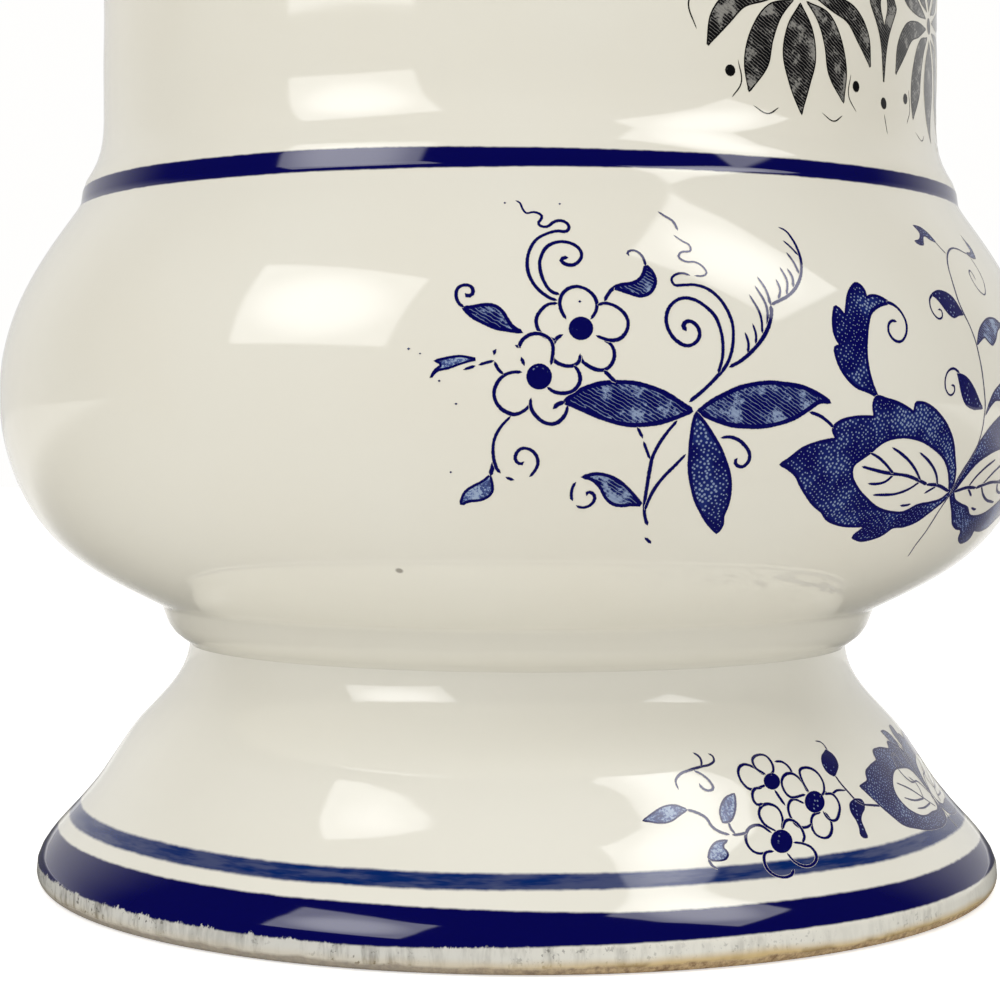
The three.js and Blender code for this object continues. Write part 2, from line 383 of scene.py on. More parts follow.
@dataclass
class StripedGlaze(Finish):
    """Cream glaze with painted stripes, over bare clay and a worn edge where a piece stands; some pieces
    have painted light, a cream lightened towards white.

    Heights are in millimetres.
    """

    stripes: tuple[Stripe, ...] = ()
    bare_below: float = 0.0
    soiled_below: float = 0.0
    # painted light: the share by which the cream is lightened, and the whiter cream it goes towards, stand
    # for light falling from above
    painted_light_share: float = 0.0
    PAINTED_LIGHT_CREAM = colour(242, 240, 230)
    CLAY, GRIT, SCUFFED_CLAY = colour(196, 170, 128), colour(124, 96, 62), colour(150, 146, 138)
    THIN_GLAZE, SMEAR, SPECK = colour(198, 197, 191), colour(92, 88, 82), colour(40, 38, 36)
    STAIN, BURNT = colour(200, 172, 112), colour(104, 80, 40)
    WORN_AT = 138.0
    FOOT_RADIUS = 0.086

    def __post_init__(self) -> None:
        """Starts the material, and works out what its layers share."""
        super().__post_init__()
        self.height = self.board.parts(self.place).value("Z") / MM
        self.side = self.worn_side()

    def worn_side(self) -> Signal:
        """Finds the side on which the edge of the foot is scuffed most.

        Returns:
            1 in that side's middle, and 0 away from it.
        """
        a = math.radians(self.WORN_AT)
        toward = (math.cos(a) / self.FOOT_RADIUS, math.sin(a) / self.FOOT_RADIUS, 0.0)
        return self.board.dot(self.place, toward).ramp(0.45, 0.93)

    def outside(self) -> Signal:
        """Finds where the surface doesn't face the axis, as no stripe is painted on the inside.

        Returns:
            1 outside, and 0 inside.
        """
        board = self.board
        outward = board.vector("NORMALIZE", board.vector("MULTIPLY", self.place, (1.0, 1.0, 0.0)))
        return board.dot(board.coordinates("Normal"), outward).ramp(-0.12, -0.04)

    def stripe_mask(self, stripe: Stripe) -> Signal:
        """Lays one stripe, with its wandering edges and thin streaks.

        Args:
            stripe: the stripe.

        Returns:
            How thick the colour lies, from 0 to 1.
        """
        slow = self.sway(22.0, 2.0, 0.5, stripe.wander * 2.6)
        frill = self.sway(420.0, 2.0, 0.6, stripe.wander * 0.9)
        low, high = stripe.low, stripe.high
        if stripe.pressed:
            low, high = low - self.side * stripe.pressed, high + self.side * stripe.pressed
        if stripe.torn:
            comb = self.noise(760.0, 4.0, 0.8, upright=0.45).ramp(0.42, 0.8)
            bite = comb * self.noise(130.0, 2.0, 0.6).ramp(0.35, 0.6)
            low = low + bite * self.side * self.side * stripe.torn
        mask = (self.height + slow + frill).between(low, high, stripe.soft)
        thick = self.noise(95.0, 3.0, 0.6, upright=9.0).ramp(0.36, 0.62)
        return mask * (1.0 - stripe.streaks * (1.0 - thick))

    def paint(self) -> tuple[Signal, object]:
        """Paints the cream and any painted light on it, then the soiling, the stripes and the bare clay that
        the piece has.

        Returns:
            The tint, and the bare clay's roughness.
        """
        board, tint, rough = self.board, self.ground(), 0.0
        # painted light: the whole piece is lightened towards a whiter cream, as if more light fell on it
        # from above
        if self.painted_light_share:
            tint = board.blend(self.painted_light_share, tint, self.PAINTED_LIGHT_CREAM)
        if self.soiled_below:
            tint = self.soiled(tint)
        outside = self.outside()
        for stripe in self.stripes:
            tint = board.blend(self.stripe_mask(stripe) * outside, tint, stripe.shade)
        if self.bare_below:
            ragged = self.height + self.sway(160.0, 3.0, 0.6, 1.6)
            bare = ragged.ramp(self.bare_below + 0.3, self.bare_below - 0.3)
            clay = board.blend(self.noise(900.0, 3.0, 0.7).ramp(0.3, 0.75), self.CLAY, self.GRIT)
            clay = board.blend(self.side * 0.75, clay, self.SCUFFED_CLAY)
            tint, rough = board.blend(bare, tint, clay), bare * 0.6
        return tint, rough

    def soiled(self, tint: Signal) -> Signal:
        """Wears the edge over the resting ring: thin glaze, grey smears, dark specks, a tan stain.

        Args:
            tint: the glaze before.

        Returns:
            The glaze after.
        """
        board, side = self.board, self.side
        wavy = self.height + self.sway(90.0, 3.0, 0.6, 1.6)
        thin = wavy.ramp(self.soiled_below + 0.6, self.soiled_below - 0.8)
        tint = board.blend(thin * (0.3 + side * 0.55), tint, self.THIN_GLAZE)
        patches = self.noise(48.0, 2.0, 0.5).ramp(0.4, 0.6)
        amount = thin * (0.3 + side * 0.7)
        smear = self.noise(330.0, 4.0, 0.7, upright=0.25).ramp(0.43, 0.66)
        tint = board.blend(smear * amount * (0.3 + patches * 0.7) * 0.9, tint, self.SMEAR)
        speck = self.noise(1150.0, 2.0, 0.6).ramp(0.6, 0.68) * amount * patches
        tint = board.blend(speck * 0.95, tint, self.SPECK)
        tan_side = 0.25 + (1.0 - side) * 0.75
        stain = (self.height + self.sway(40.0, 3.0, 0.6, 2.0)).ramp(3.2, 1.5) * tan_side
        tint = board.blend(stain * 0.85, tint, self.STAIN)
        blotch = self.noise(46.0, 4.0, 0.7)
        low = (self.height + (blotch - 0.5) * 5.0).ramp(2.9, 1.5)
        return board.blend(low * blotch.ramp(0.53, 0.61) * tan_side * 0.85, tint, self.BURNT)


@dataclass
class CobaltGlaze(Finish):
    """A solid cobalt dip, with lighter clouds and streaks where it runs thin."""

    DEEP, THIN, PIT = colour(6, 6, 92), colour(36, 62, 150), colour(150, 158, 190)

    def paint(self) -> tuple[Signal, object]:
        """Paints the dip and its pinholes.

        Returns:
            The tint, with no more roughness than the gloss.
        """
        cloud = self.noise(60.0, 3.0, 0.6).ramp(0.42, 0.72)
        streak = self.noise(110.0, 3.0, 0.6, upright=5.0).ramp(0.5, 0.8)
        tint = self.board.blend(cloud * 0.35 + streak * 0.35, self.DEEP, self.THIN)
        return self.board.blend(self.pits() * 0.8, tint, self.PIT), 0.0


class Tone(Enum):
    """How a printed shape is filled."""

    LINE = "line"
    SOLID = "solid"
    STIPPLED = "stippled"
    HATCHED = "hatched"
    WORN = "worn"


@dataclass
class PrintInk(Finish):
    """Transfer-printed colour under the gloss: worn lines, stipple or hatching over the cream.

    Its patterns are measured in millimetres on the flat map of the drawing.
    """

    tone: Tone
    deep: Colour = colour(3, 3, 78)
    mid: Colour = colour(44, 66, 132)
    light: Colour = colour(150, 166, 190)
    HATCH_PITCH = 0.5
    LATTICE_TURN = (0.0, 0.0, 0.6)

    def __post_init__(self) -> None:
        """Starts the material with its flat map."""
        super().__post_init__()
        self.flat = self.board.add("ShaderNodeUVMap", {"uv_map": "flat"}).value()

    def paint(self) -> tuple[Signal, object]:
        """Paints the ink of its tone, which fades into the cream at the rims of lines.

        Returns:
            The tint, with no more roughness than the gloss.
        """
        rim = self.board.add("ShaderNodeAttribute", {"attribute_name": "rim"}).value("Fac")
        inked = (rim + (self.grain(2.6, 2.0, 0.6) - 0.5) * 0.5).ramp(0.99, 0.72)
        ink = getattr(self, self.tone.value)()
        return self.board.blend(inked, self.ground(), ink), 0.0

    def grain(self, scale: float, detail: float = 2.0, rough: float = 0.5) -> Signal:
        """Cloudy noise around 0.5 on the flat map."""
        return self.board.noise(self.flat, scale, detail, rough)

    def line(self) -> Signal:
        """A drawn line: dark, with a little grain where the print took badly."""
        worn = self.grain(1.6, 3.0, 0.7).ramp(0.6, 0.78)
        return self.board.blend(worn * 0.55, self.deep, self.mid)

    def solid(self) -> Signal:
        """A full dark shape with a few pin-sized flaws."""
        dots = self.dots(1.1, 0.22).lesser(self.grain(0.35).ramp(0.5, 0.6))
        return self.board.blend(dots * 0.7, self.deep, self.light)

    def stippled(self) -> Signal:
        """Opens a dark shape up by fine rows of dots, more in some places than in others.

        Returns:
            Its colour.
        """
        cloud = self.grain(0.16, 3.0, 0.6).ramp(0.38, 0.68)
        haze = self.board.blend(cloud * 0.35, self.deep, self.mid)
        return self.board.blend(self.dots(1.5, 0.16 + cloud * 0.22) * 0.75, haze, self.light)

    def hatched(self) -> Signal:
        """Draws fine slanting lines, with worn, pale patches among them.

        Returns:
            Their colour.
        """
        parts, cloud = self.board.parts(self.flat), self.grain(0.28, 4.0, 0.65)
        across = parts.value("X") * 0.52 + parts.value("Y") * 0.86 + self.grain(0.9, 2.0, 0.5) * 0.5
        line = abs((across / self.HATCH_PITCH) % 1.0 - 0.5) * 2.0
        gap = line.ramp(0.78 - cloud.ramp(0.35, 0.7) * 0.5, 1.0)
        patch = (cloud + (self.grain(1.9, 2.0, 0.7) - 0.5) * 0.35).ramp(0.51, 0.62)
        base = self.board.blend(cloud.ramp(0.42, 0.66) * 0.55, self.deep, self.mid)
        open_lines = self.board.blend(gap * 0.6, base, self.light)
        return self.board.blend(patch * 0.7, open_lines, self.light)

    def worn(self) -> Signal:
        """Leaves a shape pale where its filling has mostly not taken, with a blue grain.

        Returns:
            Its colour.
        """
        fine, cloud = self.grain(2.2, 3.0, 0.7), self.grain(0.5, 3.0, 0.6) - 0.5
        taken = (fine + cloud * 0.8).ramp(0.4, 0.54)
        dark = self.board.blend((fine + cloud * 1.2).ramp(0.52, 0.66) * 0.8, self.mid, self.deep)
        return self.board.blend(taken * 0.9, self.light, dark)

    def dots(self, density: float, size: object) -> Signal:
        """Sets small dots on a slanting, slightly shaken lattice.

        Args:
            density: dots in a millimetre.
            size: a dot's radius against the distance between dots.

        Returns:
            1 in a dot's middle and 0 between dots.
        """
        turn = {"Vector": self.flat, "Rotation": self.LATTICE_TURN, "Scale": (density,) * 3}
        lattice = self.board.add("ShaderNodeMapping", {}, turn)
        inputs = {"Vector": lattice, "Scale": 1.0, "Randomness": 0.55}
        cells = self.board.add("ShaderNodeTexVoronoi", {"voronoi_dimensions": "2D"}, inputs)
        return cells.value("Distance").ramp(size, size * 0.5)


# Paths and objects -----------------------------------------------------------------------------


def run_along(points: np.ndarray) -> np.ndarray:
    """How far each point of a path lies along it from its start."""
    steps = np.linalg.norm(np.diff(points, axis=0), axis=1)
    return np.concatenate([[0], np.cumsum(steps)])


def evened(points: np.ndarray, count: int) -> np.ndarray:
    """Sets a path's points again at even steps along it.

    Args:
        points: the path, one point a row.
        count: how many points come back.

    Returns:
        The points.
    """
    along = run_along(points)
    even = np.linspace(0, along[-1], count)
    return np.stack([np.interp(even, along, points[:, k]) for k in (0, 1)], axis=1)


def twice_area(loop: np.ndarray) -> float:
    """Twice the area in a flat loop, above 0 where it runs anticlockwise."""
    ahead = np.roll(loop, -1, axis=0)
    return float(np.sum(loop[:, 0] * ahead[:, 1] - ahead[:, 0] * loop[:, 1]))


def bridged(
    start: np.ndarray, end: np.ndarray, leaving: np.ndarray, reaching: np.ndarray, count: int
) -> np.ndarray:
    """A cubic curve between two points, without its last point.

    Args:
        start: the first point.
        end: the last point.
        leaving: the direction at the start, as long as the chord.
        reaching: the direction at the end, as long as the chord.
        count: how many points come back.

    Returns:
        The points, one a row.
    """
    t = np.linspace(0, 1, count, endpoint=False)[:, None]
    away = (2 * t**3 - 3 * t**2 + 1) * start + (t**3 - 2 * t**2 + t) * leaving
    return away + (3 * t**2 - 2 * t**3) * end + (t**3 - t**2) * reaching


def turned(flat: np.ndarray, degrees: float) -> np.ndarray:
    """Flat points turned anticlockwise about the origin."""
    a = math.radians(degrees)
    return flat @ np.array([[math.cos(a), math.sin(a)], [-math.sin(a), math.cos(a)]])


def direction(azimuth: float, elevation: float = 0.0) -> Vector:
    """The way to something seen from the jar, in degrees from the front and above the table."""
    a, e = math.radians(azimuth), math.radians(elevation)
    return Vector((math.sin(a) * math.cos(e), -math.cos(a) * math.cos(e), math.sin(e)))


def put(name: str, data: bpy.types.ID) -> bpy.types.Object:
    """Puts a new object into the scene, at the origin.

    Args:
        name: its name.
        data: its mesh, camera or light.

    Returns:
        The object.
    """
    thing = bpy.data.objects.new(name, data)
    bpy.context.scene.collection.objects.link(thing)
    return thing


# Turned pieces ---------------------------------------------------------------------------------


@dataclass
class Outline:
    """Half of a turned piece's section, walked so that the solid lies on its left, in metres.

    STEP is the distance between fine points. CORNER, JOIN, STAYS and KEPT are turns in degrees, and
    UNEVEN says how many times longer than its neighbour a step has to be for the lesser turns.
    """

    points: np.ndarray
    STEP = 0.00015
    FLAT, DIGITS = 1e-6, 6
    CORNER, UNEVEN_CORNER, UNEVEN = 40.0, 20.0, 4.0
    JOIN, JOIN_UNEVEN = 10.0, 2.2
    STAYS, HELD_STAYS = 55.0, 8.0
    KEPT = 15.0

    @classmethod
    def of_node(cls, node: bpy.types.Object) -> "Outline":
        """Reads the outline from the meridian of a CAD node that lies along +X.

        Args:
            node: a revolved CAD node.

        Returns:
            Its outline as radius and height, closed unless it ends on the axis.
        """
        mesh = node.data
        places = np.empty(len(mesh.vertices) * 3)
        mesh.vertices.foreach_get("co", places)
        places = places.reshape(-1, 3)
        ends = np.empty(len(mesh.edges) * 2, dtype=int)
        mesh.edges.foreach_get("vertices", ends)
        on_plane = (np.abs(places[:, 1]) < cls.FLAT) & (places[:, 0] > -cls.FLAT)
        links: dict[tuple, set] = {}
        for a, b in ends.reshape(-1, 2):
            if on_plane[a] and on_plane[b]:
                one, two = (tuple(np.round(places[i, [0, 2]], cls.DIGITS)) for i in (a, b))
                if one != two:
                    links.setdefault(one, set()).add(two)
                    links.setdefault(two, set()).add(one)
        return cls(cls.walk(links))

    @staticmethod
    def walk(links: dict[tuple, set]) -> np.ndarray:
        """Orders linked points into one path.

        Args:
            links: each point's neighbours.

        Returns:
            The path, closed unless it has ends.
        """
        ends = [point for point, others in links.items() if len(others) == 1]
        closed = not ends
        start = min(ends or links, key=lambda point: (point[1], point[0]))
        path, before = [start], None
        while True:
            onward = [point for point in links[path[-1]] if point != before]
            if not onward or (closed and onward[0] == start and len(path) > 2):
                break
            before = path[-1]
            path.append(min(onward, key=lambda point: point == start))
            if path[-1] == start:
                path.pop()
                break
        points = np.array(path + ([start] if closed else []))
        return points if twice_area(points) > 0 else points[::-1]

    def directions(self) -> tuple[np.ndarray, np.ndarray]:
        """Finds the curve's directions at its points.

        The two at a point differ at a corner, which is a sharp turn, or a lesser one between a long
        step and a short one. Where a straight run joins a curve, both are the straight run's.

        Returns:
            The directions in which each step leaves its first point and reaches its last.
        """
        steps = np.diff(self.points, axis=0)
        lengths = np.linalg.norm(steps, axis=1)
        ways = steps / lengths[:, None]
        leaving, reaching = ways.copy(), ways.copy()
        for i in range(1, len(self.points) - 1):
            near, far = lengths[i - 1], lengths[i]
            cross = ways[i - 1][0] * ways[i][1] - ways[i - 1][1] * ways[i][0]
            turn = abs(math.degrees(math.atan2(cross, ways[i - 1] @ ways[i])))
            ratio = max(near, far) / min(near, far)
            if turn > self.CORNER or (turn > self.UNEVEN_CORNER and ratio > self.UNEVEN):
                continue
            if turn > self.JOIN and ratio > self.JOIN_UNEVEN:
                shared = ways[i - 1] if near > far else ways[i]
            else:
                shared = ways[i - 1] * far + ways[i] * near
                shared = shared / np.linalg.norm(shared)
            reaching[i - 1], leaving[i] = shared, shared
        return leaving, reaching

    def faired(self) -> "Outline":
        """Rounds the CAD's facets back into the curves that they stand for.

        Returns:
            The fairer outline.
        """
        leaving, reaching = self.directions()
        runs = []
        for i in range(len(self.points) - 1):
            start, end = self.points[i], self.points[i + 1]
            length = np.linalg.norm(end - start)
            count = max(2, int(length / self.STEP))
            runs.append(bridged(start, end, length * leaving[i], length * reaching[i], count))
        return Outline(np.vstack([*runs, self.points[-1:]]))

    def softened(self, reach: float, held: tuple[float, ...]) -> "Outline":
        """The outline as the glaze leaves it, its soft corners filled and its edges eased.

        Args:
            reach: how far the glaze rounds a corner, in metres.
            held: heights in metres at which corners stay as they are.

        Returns:
            The softer outline.
        """
        points = self.points
        steps = np.diff(points, axis=0)
        angles = np.degrees(np.arctan2(steps[:, 1], steps[:, 0]))
        bends = np.abs((np.diff(angles) + 180) % 360 - 180)
        at_held = np.array([np.any(np.abs(z - np.array(held)) < SAME) for z in points[1:-1, 1]])
        fixed = np.flatnonzero((bends > self.STAYS) | ((bends > self.HELD_STAYS) & at_held)) + 1
        cuts = [0, *fixed, len(points) - 1]
        runs = []
        for first, last in zip(cuts, cuts[1:]):
            runs.append(self.glazed(points[first : last + 1], reach)[:-1])
        return Outline(np.vstack([*runs, points[-1:]]))

    def glazed(self, run: np.ndarray, reach: float) -> np.ndarray:
        """Averages a run between held corners along its length, with its ends in place.

        Args:
            run: its points.
            reach: how far the average reaches, in metres.

        Returns:
            The smoother run.
        """
        length = run_along(run)[-1]
        if length < 4 * reach:
            return run
        level = evened(run, int(length / self.STEP) + 1)
        wide = min(int(3 * reach / self.STEP), len(level) - 1)
        before = 2 * level[0] - level[wide:0:-1]
        after = 2 * level[-1] - level[-2 : -wide - 2 : -1]
        weights = np.exp(-0.5 * (np.arange(-wide, wide + 1) * self.STEP / reach) ** 2)
        padded = np.vstack([before, level, after])
        smooth = [np.convolve(padded[:, k], weights / weights.sum(), "valid") for k in (0, 1)]
        return np.stack(smooth, axis=1)

    def thinned(self, spacing: float, degrees: float) -> "Outline":
        """Keeps the corners, and a point each time the outline has run on or turned enough.

        Args:
            spacing: the widest step, in metres.
            degrees: the most that two bends in a row turn.

        Returns:
            The lighter outline.
        """
        steps = np.diff(self.points, axis=0)
        lengths = np.linalg.norm(steps, axis=1)
        angles = np.arctan2(steps[:, 1], steps[:, 0])
        bends = np.degrees(np.abs((np.diff(angles) + math.pi) % (2 * math.pi) - math.pi))
        kept, run, turn = [0], 0.0, 0.0
        for i, bend in enumerate(bends, start=1):
            run += lengths[i - 1]
            if bend > self.KEPT or turn + bend > degrees or run > spacing:
                kept.append(i)
                run = 0.0
            turn = bend if bend <= self.KEPT else 0.0
        return Outline(self.points[[*kept, len(self.points) - 1]])

    def outside(self, low: float, high: float) -> "Outline":
        """Cuts the upward run of the outer wall out.

        Args:
            low: the lowest height, in metres.
            high: the highest.

        Returns:
            The run between them.
        """
        z = self.points[:, 1]
        inside = (z >= low) & (z <= high)
        rising = np.append(np.diff(z) > 0, False)
        ways = np.flatnonzero(inside & rising)
        widest = ways[np.argmax(self.points[ways, 0])]
        first, last = widest, widest
        while first > 0 and inside[first - 1]:
            first -= 1
        while last < len(z) - 1 and inside[last + 1]:
            last += 1
        return Outline(self.points[first : last + 1])

    def as_mesh(self, name: str) -> bpy.types.Mesh:
        """Makes a chain of edges in the XZ plane.

        Args:
            name: the mesh's name.

        Returns:
            The mesh.
        """
        mesh = bpy.data.meshes.new(name)
        edges = [(i, i + 1) for i in range(len(self.points) - 1)]
        mesh.from_pydata([(r, 0.0, z) for r, z in self.points], edges, [])
        return mesh


class Tool:
    """A Geometry Nodes tree with named inputs, run once on a mesh to give a plain mesh."""

    def __init__(self, name: str, sockets: dict[str, str]) -> None:
        """Starts a tree.

        Args:
            name: the tree's name.
            sockets: the socket type of each named input after the geometry.
        """
        self.tree = bpy.data.node_groups.new(name, "GeometryNodeTree")
        self.tree.is_modifier = True
        interface = self.tree.interface
        interface.new_socket("Geometry", in_out="INPUT", socket_type="NodeSocketGeometry")
        for label, kind in sockets.items():
            interface.new_socket(label, in_out="INPUT", socket_type=kind)
        interface.new_socket("Geometry", in_out="OUTPUT", socket_type="NodeSocketGeometry")
        self.board = Board(self.tree)
        self.inputs = self.board.add("NodeGroupInput")

    def ends(self, geometry: Signal) -> None:
        """Closes the tree: real geometry, smooth shading, one finish.

        Args:
            geometry: what the tree has made.
        """
        real = self.board.add("GeometryNodeRealizeInstances", {}, {0: geometry})
        smooth = self.board.add("GeometryNodeSetShadeSmooth", {}, {0: real})
        finish = {0: smooth, "Material": self.inputs.value("Finish")}
        dressed = self.board.add("GeometryNodeSetMaterial", {}, finish)
        self.board.add("NodeGroupOutput", {}, {0: dressed})

    def run(self, name: str, start: bpy.types.Mesh, values: dict[str, object]) -> bpy.types.Object:
        """Runs the tree on a mesh.

        Args:
            name: the finished object's name.
            start: the mesh that goes in.
            values: the named inputs.

        Returns:
            An object at the origin with the plain result.
        """
        blank = put(name + "_blank", start)
        modifier = blank.modifiers.new("tool", "NODES")
        modifier.node_group = self.tree
        items = self.tree.interface.items_tree
        keys = {item.name: item.identifier for item in items if item.in_out == "INPUT"}
        for label, value in values.items():
            modifier[keys[label]] = value
        bpy.context.view_layer.update()
        graph = bpy.context.evaluated_depsgraph_get()
        mesh = bpy.data.meshes.new_from_object(blank.evaluated_get(graph), depsgraph=graph)
        mesh.name = name
        blank.modifiers.remove(modifier)
        bpy.data.objects.remove(blank)
        return put(name, mesh)


def facing_out(piece: bpy.types.Object, sharp: float) -> bpy.types.Object:
    """Turns a closed piece's faces outwards and marks its sharp edges.

    Args:
        piece: the piece.
        sharp: the angle in degrees from which an edge is sharp.

    Returns:
        The same piece.
    """
    work = bmesh.new()
    work.from_mesh(piece.data)
    bmesh.ops.recalc_face_normals(work, faces=work.faces)
    if work.calc_volume(signed=True) < 0:
        bmesh.ops.reverse_faces(work, faces=work.faces)
    work.to_mesh(piece.data)
    work.free()
    piece.data.set_sharp_from_angle(angle=math.radians(sharp))
    return piece


class Wheel(Tool):
    """The potter's wheel: revolves an outline about Z into a closed piece."""

    WELD, SHARP = 2e-6, 38.0

    def __init__(self) -> None:
        """Builds the tree, with the number of turns and the finish as its inputs."""
        super().__init__("wheel", {"Turns": "NodeSocketInt", "Finish": "NodeSocketMaterial"})
        board, turns = self.board, self.inputs.value("Turns")
        outline = self.inputs.value("Geometry")
        count = board.add("GeometryNodeAttributeDomainSize", {}, {0: outline}).value("Point Count")
        sizes = {"Size X": 1.0, "Size Y": 1.0, "Vertices X": turns + 1, "Vertices Y": count}
        sheet = board.add("GeometryNodeMeshGrid", {}, sizes).value("Mesh")
        index = board.add("GeometryNodeInputIndex").value()
        column = (index / count).floor()
        row = index - column * count
        spot = board.add("GeometryNodeInputPosition")
        sampler = {"data_type": "FLOAT_VECTOR", "domain": "POINT"}
        section = board.add("GeometryNodeSampleIndex", sampler, {0: outline, 1: spot, 2: row})
        parts = board.parts(section)
        angle = column / turns * math.tau
        radius, height = parts.value("X"), parts.value("Z")
        thrown = board.joined(X=radius * angle.cosine(), Y=radius * angle.sine(), Z=height)
        placed = board.add("GeometryNodeSetPosition", {}, {0: sheet, "Position": thrown})
        closed = {0: placed, "Distance": self.WELD}
        self.ends(board.add("GeometryNodeMergeByDistance", {}, closed).value())

    def throw(
        self, name: str, outline: Outline, turns: int, finish: bpy.types.Material
    ) -> bpy.types.Object:
        """Throws one piece with that outline, that many facets round the axis and that finish."""
        piece = self.run(name, outline.as_mesh(name), {"Turns": turns, "Finish": finish})
        return facing_out(piece, self.SHARP)


# Camera, light and floor -----------------------------------------------------------------------


@dataclass
class Viewpoint:
    """Where the photographer stood, with the lens as it measures in the photograph."""

    azimuth: float = -85.0
    distance: float = 0.4214
    eye_height: float = 0.08054
    focal_pixels: float = 2245.0
    frame_pixels: float = 1000.0
    axis_right_of_middle: float = 17.7
    horizon_above_middle: float = 61.6
    roll: float = 0.226
    SENSOR, NEAREST, FARTHEST = 36.0, 0.01, 20.0

    def axes(self) -> tuple[Vector, Vector, Vector]:
        """Works out how the camera stands.

        Returns:
            Its right, up and backward directions.
        """
        yaw = Matrix.Rotation(math.atan2(self.axis_right_of_middle, self.focal_pixels), 3, "Z")
        ahead = yaw @ -direction(self.azimuth)
        right = ahead.cross(Vector((0, 0, 1))).normalized()
        dip = Matrix.Rotation(-math.atan2(self.horizon_above_middle, self.focal_pixels), 3, right)
        ahead = dip @ ahead
        up = right.cross(ahead)
        r = math.radians(self.roll)
        return (
            right * math.cos(r) + up * math.sin(r),
            up * math.cos(r) - right * math.sin(r),
            -ahead,
        )

    def position(self) -> Vector:
        """The camera's place."""
        return direction(self.azimuth) * self.distance + Vector((0, 0, self.eye_height))

    def build(self) -> bpy.types.Object:
        """Makes the camera and gives it to the scene.

        Returns:
            The camera.
        """
        data = bpy.data.cameras.new("camera")
        data.sensor_width = self.SENSOR
        data.lens = self.focal_pixels / self.frame_pixels * self.SENSOR
        data.clip_start, data.clip_end = self.NEAREST, self.FARTHEST
        camera = put("camera", data)
        right, up, back = self.axes()
        turn = Matrix((right, up, back)).transposed().to_4x4()
        camera.matrix_world = Matrix.Translation(self.position()) @ turn
        bpy.context.scene.camera = camera
        return camera

    def seen(self, places: np.ndarray) -> np.ndarray:
        """Where points in metres fall in the photograph, in its pixels.

        Args:
            places: points, one a row.

        Returns:
            Their x and y, one a row.
        """
        right, up, back = (np.array(axis) for axis in self.axes())
        away = places - np.array(self.position())
        depth = -(away @ back)
        middle = self.frame_pixels / 2
        x = middle + self.focal_pixels * (away @ right) / depth
        y = middle - self.focal_pixels * (away @ up) / depth
        return np.stack([x, y], axis=1)


class Use(Enum):
    """What a studio light is hung for."""

    HIGHLIGHT = "highlight"
    FILL = "fill"


@dataclass(frozen=True)
class Softbox:
    """A square studio light aimed at the jar, seen in its gloss or lighting its body."""

    name: str
    azimuth: float
    elevation: float
    distance: float
    width: float
    height: float
    radiance: float
    roll: float = 0.0
    use: Use = Use.HIGHLIGHT
    AIM = Vector((0.0, 0.0, 0.1))
    HEM, CLOTH = 0.9, 0.75

    def build(self) -> bpy.types.Object:
        """Makes the light and hangs it.

        Returns:
            The light.
        """
        data = bpy.data.lights.new(self.name, "AREA")
        data.shape = "RECTANGLE"
        data.size, data.size_y = self.width, self.height
        data.energy = self.radiance * math.pi * self.width * self.height
        light = put(self.name, data)
        back = direction(self.azimuth, self.elevation)
        light.location = self.AIM + back * self.distance
        light.rotation_mode = "QUATERNION"
        spin = Quaternion((0.0, 0.0, 1.0), math.radians(self.roll))
        light.rotation_quaternion = back.to_track_quat("Z", "Y") @ spin
        light.visible_camera = False
        light.visible_glossy = self.use is Use.HIGHLIGHT
        light.visible_diffuse = self.use is Use.FILL
        self.diffuse(data)
        return light

    def diffuse(self, data: bpy.types.Light) -> None:
        """Makes the cloth brightest in its middle and soft at its edges.

        Args:
            data: the light's data.
        """
        board = cleared(data)
        parts = board.parts(board.add("ShaderNodeNewGeometry").value("Parametric"))
        across, upward = (abs(parts.value(axis) - 0.5) * 2.0 for axis in "XY")
        edge = across.ramp(1.0, self.HEM) * upward.ramp(1.0, self.HEM)
        middle = (across * across + upward * upward).ramp(self.HEM, 0.0)
        strength = edge * (self.CLOTH + middle * self.CLOTH)
        glow = board.add("ShaderNodeEmission", {}, {"Strength": strength})
        board.add("ShaderNodeOutputLight", {}, {0: glow})


